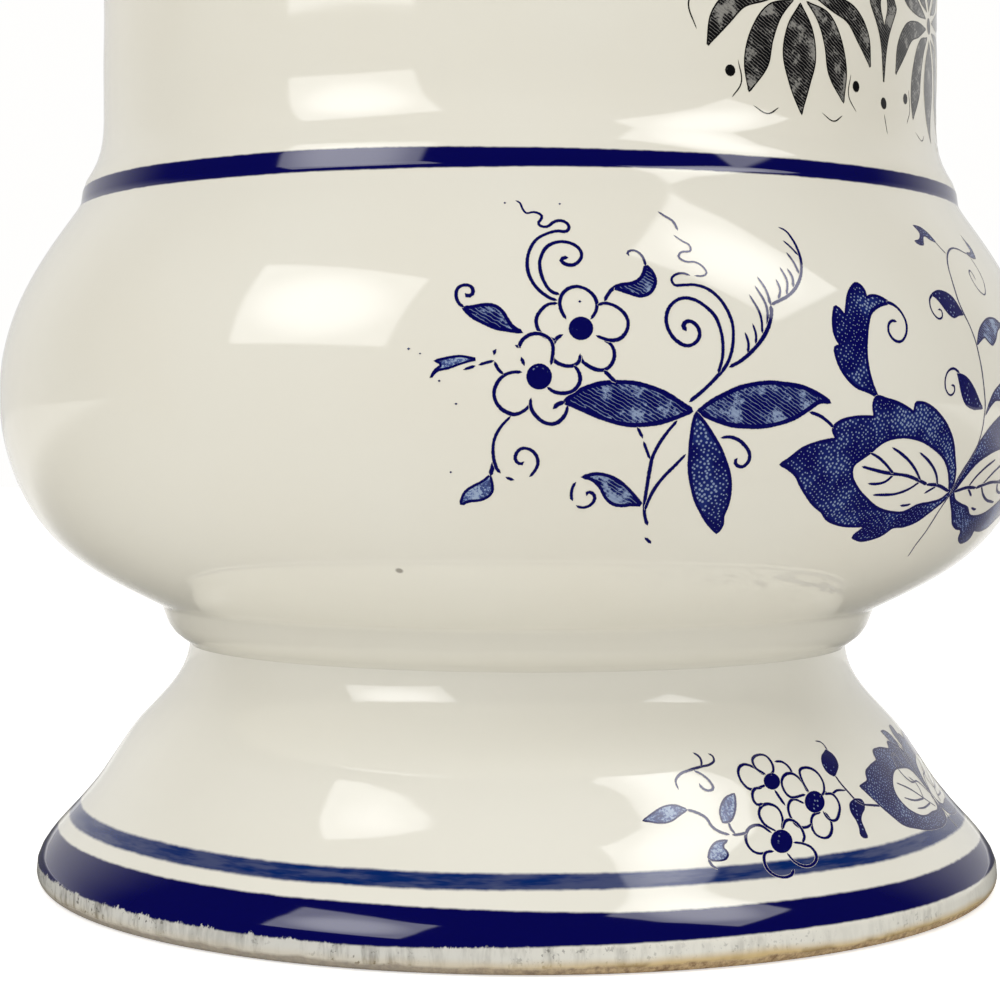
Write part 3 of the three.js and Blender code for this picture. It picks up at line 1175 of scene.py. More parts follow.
@dataclass
class Studio:
    """A pale table in a white room, with two softboxes that the gloss shows and two fills.

    What the gloss mirrors fades from the backdrop's side to the photographer's: room_fade is in
    cosines to the line of sight, and table_fade in metres along it.
    """

    room: float = 0.78
    mirrored_front: float = 0.04
    mirrored_back: float = 0.72
    table: float = 6.0
    table_glow: float = 0.2
    table_white: float = 0.35
    table_front: float = 0.05
    table_roughness: float = 0.6
    room_fade: tuple[float, float] = (-0.75, -0.2)
    table_fade: tuple[float, float] = (-0.35, -0.05)
    table_tints: tuple[Colour, Colour] = (colour(246, 245, 242), colour(250, 249, 247))
    glow: Colour = (1.0, 0.995, 0.985, 1.0)
    boxes: tuple[Softbox, ...] = (
        Softbox("left_softbox", -126.0, 29.0, 0.45, 0.27, 0.23, 4.2),
        Softbox("right_softbox", -31.0, 42.5, 0.45, 0.18, 0.28, 4.2, 28.0),
        Softbox("left_fill", -117.0, 40.0, 0.9, 0.5, 0.5, 2.2, use=Use.FILL),
        Softbox("right_fill", -50.0, 58.0, 0.9, 0.4, 0.4, 2.2, use=Use.FILL),
    )

    def build(self, view: Viewpoint) -> None:
        """Builds the room's light, the softboxes and the table.

        Args:
            view: the photographer's viewpoint.
        """
        self.build_room(view)
        for box in self.boxes:
            box.build()
        self.build_table(view)
        bpy.context.scene.view_settings.view_transform = "Standard"

    def build_room(self, view: Viewpoint) -> None:
        """Lights a pale room, which is plain white when seen directly.

        The gloss mirrors a white backdrop behind the jar and a dim studio in front of it.

        Args:
            view: the photographer's viewpoint.
        """
        world = bpy.data.worlds.new("room")
        board = cleared(world)
        back = tuple(view.axes()[2])
        frontal = board.dot(board.coordinates("Generated"), back).ramp(*self.room_fade)
        rays = board.add("ShaderNodeLightPath")
        direct, glossy = rays.value("Is Camera Ray"), rays.value("Is Glossy Ray")
        mirrored = self.mirrored_back + frontal * (self.mirrored_front - self.mirrored_back)
        strength = (self.room + glossy * (mirrored - self.room)) * (1.0 - direct) + direct
        sky = board.add("ShaderNodeBackground", {}, {"Color": self.glow, "Strength": strength})
        board.add("ShaderNodeOutputWorld", {}, {"Surface": sky})
        bpy.context.scene.world = world

    def build_table(self, view: Viewpoint) -> None:
        """Lays a wide pale top under the foot ring; the gloss mirrors it dimly in front.

        Args:
            view: the photographer's viewpoint.
        """
        half = self.table / 2
        mesh = bpy.data.meshes.new("table_top")
        corners = [(-half, -half, 0), (half, -half, 0), (half, half, 0), (-half, half, 0)]
        mesh.from_pydata(corners, [], [(0, 1, 2, 3)])
        top = put("table_top", mesh)
        material = bpy.data.materials.new("pale_table")
        board = cleared(material)
        place = board.coordinates()
        tint = board.blend(board.noise(place, 3.0, 3.0, 0.5), *self.table_tints)
        back = view.axes()[2]
        front = board.dot(place, (back.x, back.y, 0.0)).ramp(*self.table_fade)
        rays = board.add("ShaderNodeLightPath")
        dim = rays.value("Is Glossy Ray") * front * (1.0 - self.table_front)
        inputs = {
            "Base Color": board.blend(dim, tint, DARK),
            "Roughness": self.table_roughness,
            "Emission Color": board.blend(dim, WHITE, DARK),
            "Emission Strength": rays.value("Is Camera Ray") * self.table_white + self.table_glow,
        }
        surface_out(board, inputs)
        top.data.materials.append(material)


# The jar ---------------------------------------------------------------------------------------

NAVY = colour(2, 2, 76)
BRUSHED_BLUE = colour(3, 36, 98)
BLACK = (colour(12, 12, 14), colour(44, 44, 48), colour(150, 148, 142))


@dataclass
class TurnedWork:
    """The four thrown pieces of the jar and its lid, with their painted stripes in millimetres."""

    turns: int = 256
    spacing: float = 0.0018
    bend: float = 4.0
    shoulder_stripe: tuple = (121.8, 124.6)
    rim_stripe: tuple = (186.7, 189.3)
    foot_line: tuple = (12.05, 14.15)
    foot_band: tuple = (4.95, 9.0)
    flange_stripe: tuple = (195.0, 198.2)
    dome_line: tuple = (203.4, 205.0)
    neck_line: tuple = (225.2, 227.4)
    glaze_reach: float = 0.0006
    pool: float = 0.0016
    outlines: dict[str, Outline] = field(default_factory=dict)
    LAP_FROM, LAP_POINTS, TUCK = 0.03, 12, 0.0005

    def luted(self, outline: Outline, below: Outline, seam: float) -> Outline:
        """The vessel with the glaze that has pooled in its joint with the foot.

        Args:
            outline: the vessel's outline, which starts on the axis at the seam.
            below: the foot's outline.
            seam: the seam's height.

        Returns:
            The outline, which now laps over the foot by the pool's height.
        """
        points = outline.points
        corner = int(np.argmax(points[:, 1] > seam + SAME)) - 1
        join = corner + int(np.argmax(run_along(points[corner:]) > self.pool))
        wall = below.outside(self.LAP_FROM, seam).points
        start = np.array([np.interp(seam - self.pool, wall[:, 1], wall[:, 0]), seam - self.pool])
        t = np.linspace(0, 1, self.LAP_POINTS)[:, None]
        curve = start * (1 - t) ** 2 + points[corner] * 2 * t * (1 - t) + points[join] * t**2
        inset = start - (self.TUCK, 0.0)
        tucked = np.array([points[0], (inset[0], seam), inset])
        return Outline(np.vstack([tucked, curve, points[join + 1 :]]))

    def finishes(self) -> dict[str, bpy.types.Material]:
        """Makes the glazes.

        Returns:
            The glaze of each CAD node, by its name.
        """
        foot = (
            Stripe(*self.foot_line, BRUSHED_BLUE, wander=0.3, soft=0.5, streaks=0.07, pressed=0.1),
            Stripe(*self.foot_band, NAVY, wander=0.3, soft=0.4, streaks=0.0, torn=1.0, pressed=0.9),
        )
        vessel = (
            Stripe(*self.shoulder_stripe, NAVY, streaks=0.0, pressed=0.4),
            Stripe(*self.rim_stripe, NAVY, streaks=0.0),
        )
        cover = (
            Stripe(*self.flange_stripe, NAVY, streaks=0.0),
            Stripe(*self.dome_line, BRUSHED_BLUE, streaks=0.4),
            Stripe(*self.neck_line, NAVY, streaks=0.2),
        )
        glazes = {
            # the foot's cream is lightened by painted light, standing for the light that falls on it from
            # above
            "pedestal_foot": StripedGlaze("foot_glaze", foot, bare_below=1.5, soiled_below=4.8, painted_light_share=0.45),
            "vessel": StripedGlaze("vessel_glaze", vessel),
            "lid_cover": StripedGlaze("lid_glaze", cover),
            "lid_knob": CobaltGlaze("knob_glaze"),
        }
        return {node: glaze.build() for node, glaze in glazes.items()}

    def build(self, nodes: dict[str, bpy.types.Object]) -> None:
        """Throws a smooth piece in place of each CAD node.

        Args:
            nodes: the frame's nodes by name.
        """
        wheel = Wheel()
        for name, finish in self.finishes().items():
            low, high = (corner[2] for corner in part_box(name))
            faired = Outline.of_node(nodes[name]).faired().softened(self.glaze_reach, (low, high))
            if name == "vessel":
                faired = self.luted(faired, self.outlines["pedestal_foot"], low)
            self.outlines[name] = faired
            light = faired.thinned(self.spacing, self.bend)
            turns = self.turns // 2 if name == "lid_knob" else self.turns
            piece = wheel.throw(name + "_thrown", light, turns, finish)
            body = "lid" if name.startswith("lid") else "jar"
            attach(piece, body)
            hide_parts(name)
            log.info("%s: %d faces", name, len(piece.data.polygons))


# Drawings --------------------------------------------------------------------------------------

Points = list[tuple[float, float]]
LINE_STEP, FILL_STEP = 0.45, 0.6  # millimetres between the points of lines and of fillings
DENSER = 1.6  # points in a curve before it is evened, against those after
SHORTEST_MEAN = 0.2  # below this, the mean of two directions says nothing


class Sheet(Protocol):
    """What a drawing's points are measured on."""

    def place(self, points: Points) -> np.ndarray:
        """Points on the sheet as flat points in millimetres."""


def eased(points: np.ndarray, closed: bool = False, step: float = LINE_STEP) -> np.ndarray:
    """A smooth curve through points, in even steps. A point given twice is a corner.

    Args:
        points: the points, one a row.
        closed: whether the curve returns to its start.
        step: the distance between the points that come back.

    Returns:
        The curve's points.
    """
    points = np.asarray(points, dtype=float)
    if closed:
        points = np.vstack([points, points[:1]])
    runs = []
    for i in range(len(points) - 1):
        start, end = points[i], points[i + 1]
        chord = np.linalg.norm(end - start)
        if chord < TINY:
            continue
        before = points[i - 1] if i else (points[-2] if closed else start)
        after = points[i + 2] if i + 2 < len(points) else (points[1] if closed else end)
        slopes = []
        for here, other in ((start, before), (end, after)):
            reach = np.linalg.norm(here - other)
            way = (end - start) / chord
            if reach >= TINY:
                side = (here - other) / reach if other is before else (other - here) / reach
                way = (way * reach + side * chord) / (reach + chord)
                length = np.linalg.norm(way)
                way = way / length if length > SHORTEST_MEAN else (end - start) / chord
            slopes.append(way * chord)
        runs.append(bridged(start, end, *slopes, max(3, int(chord / step * DENSER))))
    dense = np.vstack([*runs, points[-1:]])
    curve = evened(dense, max(4, int(run_along(dense)[-1] / step)) + 1)
    return curve[:-1] if closed else curve


@dataclass
class Wall:
    """The outer wall that a drawing is rolled on to.

    A flat point is millimetres to the right of the front along a circle of the reference radius,
    and millimetres up the wall from the datum height. IN_SIGHT is how many degrees of the wall the
    camera sees on either side of its own azimuth, and LONGEST, like NUDGE, is in millimetres.
    """

    outline: Outline
    reference: float
    datum: float
    IN_SIGHT, GRID = 74.0, (90, 60)
    ROUNDS, NUDGE, LONGEST = 8, 0.05, 4

    def __post_init__(self) -> None:
        """Measures the wall's length from its lower end."""
        points = self.outline.points
        self.lengths = run_along(points)
        self.datum_length = float(np.interp(self.datum * MM, points[:, 1], self.lengths))

    def roll(self, flat: np.ndarray) -> np.ndarray:
        """Rolls flat points on to the wall.

        Args:
            flat: the points in millimetres, one a row.

        Returns:
            Where they come to lie, in metres.
        """
        along = flat[:, 1] * MM + self.datum_length
        radius = np.interp(along, self.lengths, self.outline.points[:, 0])
        height = np.interp(along, self.lengths, self.outline.points[:, 1])
        angle = flat[:, 0] / self.reference + FRONT
        return np.stack([radius * np.cos(angle), radius * np.sin(angle), height], axis=1)

    def pinned(self, view: Viewpoint, spots: np.ndarray) -> np.ndarray:
        """The flat points whose rolled places are seen at spots in the photograph.

        Each starts at the nearest point of a grid, and then moves by Newton's method.

        Args:
            view: the photographer's viewpoint.
            spots: the spots in the photograph's pixels, one a row.

        Returns:
            The flat points in millimetres, one a row.
        """
        middle = math.radians(view.azimuth) * self.reference
        spread = math.radians(self.IN_SIGHT) * self.reference
        low, high = (np.array([0, self.lengths[-1]]) - self.datum_length) / MM
        columns = np.linspace(middle - spread, middle + spread, self.GRID[0])
        rows = np.linspace(low, high, self.GRID[1])
        grid = np.stack(np.meshgrid(columns, rows), axis=-1).reshape(-1, 2)
        seen = view.seen(self.roll(grid))
        flat = grid[np.argmin(np.linalg.norm(seen[None] - spots[:, None], axis=2), axis=1)]
        for _ in range(self.ROUNDS):
            here = view.seen(self.roll(flat))
            right = view.seen(self.roll(flat + [self.NUDGE, 0])) - here
            up = view.seen(self.roll(flat + [0, self.NUDGE])) - here
            slope = np.stack([right, up], axis=2) / self.NUDGE
            move = np.linalg.solve(slope, (spots - here)[:, :, None])[:, :, 0]
            flat = flat + np.clip(move, -self.LONGEST, self.LONGEST)
            flat[:, 1] = np.clip(flat[:, 1], low, high)
        return flat


@dataclass
class Card:
    """A drawing sheet laid over part of the photograph and pinned to the wall behind it."""

    wall: Wall
    view: Viewpoint
    left: float
    top: float
    enlarged: float

    def place(self, points: Points) -> np.ndarray:
        """Card points as flat points in millimetres."""
        spots = np.asarray(points, dtype=float) / self.enlarged + (self.left, self.top)
        return self.wall.pinned(self.view, spots)


@dataclass
class Patch:
    """A drawing sheet measured in millimetres, set at a flat point, and turned or mirrored there."""

    right: float = 0.0
    up: float = 0.0
    degrees: float = 0.0
    across: float = 1.0
    upward: float = 1.0

    def place(self, points: Points) -> np.ndarray:
        """Patch points as flat points in millimetres."""
        flat = np.asarray(points, dtype=float) * (self.across, self.upward)
        return turned(flat, self.degrees) + (self.right, self.up)


@dataclass
class Plate:
    """A thin closed plate of print on the flat: its points with heights, faces and rims."""

    points: np.ndarray
    faces: list
    rim: np.ndarray


class Drawing:
    """Everything of one print on one wall, gathered as thin plates by tone.

    Plates stand out of the wall by LIFT and more, and reach into it by SINK, in millimetres. A
    filling has a lattice of inner points PITCH apart, none nearer to its border than MARGIN. A
    line's width is UNEVEN by that share, in a quick and a slow wave of so many radians a point, and
    starts each line at another PHASE. It tapers over its first and last TAPER of the length.
    """

    LIFT, RISE, LAYERS, SINK = 0.034, 0.0016, 9, 0.06
    UNEVEN, QUICK, SLOW, PHASE, TAPER = 0.10, 0.42, 0.17, 1.7, 0.25
    BLUNT, THINNEST = 0.04, 1e-6
    PITCH, MARGIN, WELD = 1.5, 0.45, 1e-5
    DISC_POINTS = 10

    def __init__(self, wall: Wall, pen: float) -> None:
        """Starts an empty drawing.

        Args:
            wall: the wall that it is rolled on to.
            pen: the width of a full line in millimetres.
        """
        self.wall = wall
        self.pen = pen
        self.plates: dict[Tone, list[Plate]] = {}
        self.count = 0

    def lift(self) -> float:
        """A height for the next line, so that crossing lines never share a face."""
        self.count += 1
        return self.LIFT + self.RISE * (self.count % self.LAYERS + 1)

    def line(
        self, sheet: Sheet, points: Points, width: float = 1.0, ends: tuple = (0.55, 0.55),
        gaps: tuple = (),
    ) -> None:
        """Draws a line.

        Args:
            sheet: the sheet that the points are on.
            points: the points that it passes through.
            width: its width in pens.
            ends: how wide its two ends are against its middle.
            gaps: stretches that did not print, as fractions of its length.
        """
        curve = eased(sheet.place(points))
        share = np.linspace(0, 1, len(curve))
        swell = np.interp(share, [0, self.TAPER, 1 - self.TAPER, 1], [ends[0], 1, 1, ends[1]])
        half = swell * self.half_width(len(curve), width)
        for low, high in self.printed(gaps):
            picked = np.flatnonzero((share >= low) & (share <= high))
            if len(picked) >= 3:
                part = curve[picked]
                self.keep(Tone.LINE, self.strip(part, self.rounded(part, half[picked]), False, 0.0))

    def half_width(self, count: int, width: float) -> np.ndarray:
        """Half the width of a line at each of its points, as an uneven hand presses the pen.

        Args:
            count: how many points the line has.
            width: its width in pens.

        Returns:
            The half widths in millimetres.
        """
        run = np.linspace(0, 1, count) * count
        waver = np.sin(run * self.QUICK + self.count * self.PHASE) * np.cos(run * self.SLOW)
        return (1 + self.UNEVEN * waver) * self.pen * width / 2

    @staticmethod
    def printed(gaps: tuple) -> list[tuple[float, float]]:
        """The stretches between gaps."""
        edges = [0.0, *(edge for gap in gaps for edge in gap), 1.0]
        return list(zip(edges[::2], edges[1::2]))

    @classmethod
    def rounded(cls, part: np.ndarray, half: np.ndarray) -> np.ndarray:
        """Rounds the ends of a line.

        Args:
            part: its flat curve.
            half: half its width at each point.

        Returns:
            The half widths, which close in round ends.
        """
        along = run_along(part)
        near = np.minimum(along, along[-1] - along) / np.maximum(half, cls.THINNEST)
        return half * np.sqrt(np.clip(1 - np.clip(1 - near, 0, 1) ** 2, cls.BLUNT, 1))

    def strip(self, part: np.ndarray, half: np.ndarray, whole: bool, outer: float) -> Plate:
        """A ribbon three points wide with a back and sides.

        Args:
            part: the flat curve.
            half: half its width at each point.
            whole: whether it closes on itself.
            outer: the side that fades, or 0 for both.

        Returns:
            The plate.
        """
        if whole:
            way = np.roll(part, -1, axis=0) - np.roll(part, 1, axis=0)
        else:
            way = np.gradient(part, axis=0)
        way = way / np.maximum(np.linalg.norm(way, axis=1), TINY)[:, None]
        side = np.stack([-way[:, 1], way[:, 0]], axis=1) * half[:, None]
        top = self.lift()
        count = len(part)
        rows = [(part + side, top), (part, top), (part - side, top)]
        rows += [(part - side, -self.SINK), (part + side, -self.SINK)]
        points = np.vstack([np.column_stack([flat, np.full(count, z)]) for flat, z in rows])
        left, right = (1.0 if outer >= 0 else 0.0), (1.0 if outer <= 0 else 0.0)
        rim = np.concatenate([np.full(count, value) for value in (left, 0.0, right, right, left)])
        faces = []
        for i in range(count if whole else count - 1):
            j = (i + 1) % count
            for a, b in ((0, 1), (1, 2), (2, 3), (3, 4), (4, 0)):
                faces.append((a * count + i, b * count + i, b * count + j, a * count + j))
        if not whole:
            faces.append(tuple(k * count for k in (4, 3, 2, 1, 0)))
            faces.append(tuple(k * count + count - 1 for k in range(5)))
        return Plate(points, faces, rim)

    def shape(
        self, sheet: Sheet, points: Points, tone: Tone = Tone.STIPPLED, edge: float = 1.0,
        holes: tuple = (),
    ) -> None:
        """Draws a filled shape with its outline.

        Args:
            sheet: the sheet that the points are on.
            points: its outline.
            tone: its filling.
            edge: the outline's width in pens, or 0 for none.
            holes: outlines that stay bare.
        """
        loops = [eased(sheet.place(loop), True, FILL_STEP) for loop in (points, *holes)]
        self.fill(loops, tone)
        if edge:
            for loop, filled in zip(loops, [1.0] + [-1.0] * len(holes)):
                finer = eased(loop, True)
                outer = -math.copysign(1.0, twice_area(finer)) * filled
                half = self.half_width(len(finer), edge)
                self.keep(Tone.LINE, self.strip(finer, half, True, outer))

    def petals(self, sheet: Sheet, loops: list[tuple[Points, tuple]]) -> None:
        """Draws the outlines of open petals, each with the stretches that did not print."""
        for points, gaps in loops:
            self.line(sheet, points, 1.0, (0.8, 0.8), gaps)

    def disc(
        self, sheet: Sheet, x: float, y: float, across: float, down: float, edge: float = 0.7
    ) -> None:
        """Draws a solid round or oval spot.

        Args:
            sheet: the sheet that it is on.
            x: its middle's place across the sheet.
            y: its middle's place up or down the sheet.
            across: its half width.
            down: its half height.
            edge: the outline's width in pens, or 0 for none.
        """
        angles = [math.tau * i / self.DISC_POINTS for i in range(self.DISC_POINTS)]
        ring = [(x + across * math.cos(a), y + down * math.sin(a)) for a in angles]
        self.shape(sheet, ring, Tone.SOLID, edge)

    def fill(self, loops: list[np.ndarray], tone: Tone) -> None:
        """Fills a flat loop with a thin plate.

        Args:
            loops: the loop, then the holes in it.
            tone: the plate's tone.
        """
        border = np.vstack(loops)
        edges, first = [], 0
        for loop in loops:
            edges += [(first + i, first + (i + 1) % len(loop)) for i in range(len(loop))]
            first += len(loop)
        low, high = border.min(axis=0), border.max(axis=0)
        across, upward = (np.arange(low[k] + self.PITCH / 2, high[k], self.PITCH) for k in (0, 1))
        lattice = np.stack(np.meshgrid(across, upward), axis=-1).reshape(-1, 2)
        inner = [p for p in lattice if np.min(np.linalg.norm(border - p, axis=1)) > self.MARGIN]
        inner = [p for p in inner if self.covers(loops, p)]
        spots = [Vector(p) for p in (*border, *inner)]
        flat, _, faces, *_ = delaunay_2d_cdt(spots, edges, [], 0, self.WELD)
        flat = np.array([tuple(p) for p in flat])
        kept = [tuple(f) for f in faces if self.covers(loops, flat[list(f)].mean(axis=0))]
        kept = [f if twice_area(flat[list(f)]) > 0 else f[::-1] for f in kept]
        count = len(flat)
        half_edges = {(f[i], f[(i + 1) % 3]) for f in kept for i in range(3)}
        rims = [edge for edge in half_edges if edge[::-1] not in half_edges]
        top, bottom = np.full(count, self.LIFT), np.full(count, -self.SINK)
        points = np.vstack([np.column_stack([flat, top]), np.column_stack([flat, bottom])])
        faces = kept + [tuple(i + count for i in f[::-1]) for f in kept]
        faces += [(b, a, a + count, b + count) for a, b in rims]
        self.keep(tone, Plate(points, faces, np.zeros(2 * count)))

    @staticmethod
    def covers(loops: list[np.ndarray], point: np.ndarray) -> bool:
        """Says whether loops cover a point.

        Args:
            loops: the loops.
            point: the point.

        Returns:
            True where it is inside an odd number of them.
        """
        inside = False
        for loop in loops:
            ahead = np.roll(loop, -1, axis=0)
            straddles = (loop[:, 1] > point[1]) != (ahead[:, 1] > point[1])
            with np.errstate(divide="ignore", invalid="ignore"):
                slant = (ahead[:, 0] - loop[:, 0]) / (ahead[:, 1] - loop[:, 1])
            crossing = loop[:, 0] + slant * (point[1] - loop[:, 1])
            inside ^= bool(np.count_nonzero(straddles & (crossing > point[0])) % 2)
        return inside

    def keep(self, tone: Tone, plate: Plate) -> None:
        """Adds a plate to those of its tone."""
        self.plates.setdefault(tone, []).append(plate)

    def mirrored(self, middle: float = 0.0) -> None:
        """Repeats everything drawn so far on the other side of an upright line.

        Args:
            middle: how far the line is right of the front.
        """
        for plates in self.plates.values():
            for plate in list(plates):
                points = plate.points * (-1, 1, 1) + (2 * middle, 0, 0)
                plates.append(Plate(points, [f[::-1] for f in plate.faces], plate.rim))

    def flat_mesh(self, name: str, tone: Tone) -> bpy.types.Mesh:
        """Joins all plates of one tone into one flat mesh, with its rims and its flat map.

        Args:
            name: the mesh's name.
            tone: the tone.

        Returns:
            The mesh, in millimetres.
        """
        plates = self.plates[tone]
        points, faces, rims, first = [], [], [], 0
        for plate in plates:
            points.append(plate.points)
            rims.append(plate.rim)
            faces += [tuple(i + first for i in face) for face in plate.faces]
            first += len(plate.points)
        points = np.vstack(points)
        mesh = bpy.data.meshes.new(name)
        mesh.from_pydata(points.tolist(), [], faces)
        mesh.attributes.new("rim", "FLOAT", "POINT").data.foreach_set("value", np.concatenate(rims))
        corners = np.empty(len(mesh.loops), dtype=int)
        mesh.loops.foreach_get("vertex_index", corners)
        mesh.uv_layers.new(name="flat").data.foreach_set("uv", points[corners, :2].ravel())
        return mesh


class Roller(Tool):
    """Rolls a flat drawing on to a turned wall."""

    SHARP = 50.0

    def __init__(self) -> None:
        """Builds the tree, with the wall, its datum and its reference radius as inputs."""
        kinds = {
            "Wall": "NodeSocketObject",
            "Datum Length": "NodeSocketFloat",
            "Reference Radius": "NodeSocketFloat",
            "Finish": "NodeSocketMaterial",
        }
        super().__init__("roller", kinds)
        board, take = self.board, self.inputs.value
        wall = board.add("GeometryNodeObjectInfo", {}, {0: take("Wall")}).value("Geometry")
        curve = board.add("GeometryNodeMeshToCurve", {}, {0: wall})
        flat = board.parts(board.add("GeometryNodeInputPosition"))
        along = flat.value("Y") * MM + take("Datum Length")
        modes = {"mode": "LENGTH", "data_type": "FLOAT"}
        sampled = board.add("GeometryNodeSampleCurve", modes, {0: curve, "Length": along})
        place = board.parts(sampled.value("Position"))
        rise = board.parts(sampled.value("Tangent"))
        lift = flat.value("Z") * MM
        radius = place.value("X") + rise.value("Z") * lift
        angle = flat.value("X") / take("Reference Radius") + FRONT
        height = place.value("Z") - rise.value("X") * lift
        spot = board.joined(X=radius * angle.cosine(), Y=radius * angle.sine(), Z=height)
        rolled = {0: take("Geometry"), "Position": spot}
        self.ends(board.add("GeometryNodeSetPosition", {}, rolled).value())

    def print_on(
        self, drawing: Drawing, name: str, body: str, inks: dict[Tone, bpy.types.Material], slot: str
    ) -> None:
        """Rolls every tone of a drawing and lets it ride on a body.

        Args:
            drawing: the drawing.
            name: the start of its pieces' names.
            body: the body that carries it.
            inks: the material of each tone.
            slot: the record's slot of the ink; not used.
        """
        wall = drawing.wall
        former = put("former", wall.outline.as_mesh("former"))
        for tone in drawing.plates:
            label = f"{name}_{tone.value}"
            values = {
                "Wall": former,
                "Datum Length": wall.datum_length,
                "Reference Radius": wall.reference,
                "Finish": inks[tone],
            }
            piece = self.run(label, drawing.flat_mesh(label, tone), values)
            piece.data.set_sharp_from_angle(angle=math.radians(self.SHARP))
            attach(piece, body)
            log.info("%s: %d faces", label, len(piece.data.polygons))
        bpy.data.objects.remove(former)


# Sprays ----------------------------------------------------------------------------------------


def blossom(art: Drawing, sheet: Patch, petals: int, across: float, out: float, middle: float) -> None:
    """Draws a round blossom of even petals.

    Args:
        art: the drawing.
        sheet: the patch, centred on the blossom.
        petals: how many.
        across: a petal's half width.
        out: how far its middle lies from the centre.
        middle: the disc's radius.
    """
    for i in range(petals):
        petal = Patch(sheet.right, sheet.up, 360 * i / petals)
        art.line(petal, [
            (-0.35 * across, out - across * 1.05), (-across * 0.86, out - 0.2 * across),
            (-across * 0.8, out + 0.6 * across), (0, out + across), (across * 0.8, out + 0.6 * across),
            (across * 0.86, out - 0.2 * across), (0.35 * across, out - across * 1.05)], 0.85, (0.8, 0.8))
    art.disc(sheet, 0, 0, middle, middle)


@dataclass
class Ornament(ABC):
    """One print: the wall that it goes on to, and the width of its full line in millimetres."""

    wall: Wall
    pen: float

    def draw(self) -> Drawing:
        """Draws all of it.

        Returns:
            A new drawing.
        """
        self.art = Drawing(self.wall, self.pen)
        self.compose()
        return self.art

    @abstractmethod
    def compose(self) -> None:
        """Draws its parts in order."""


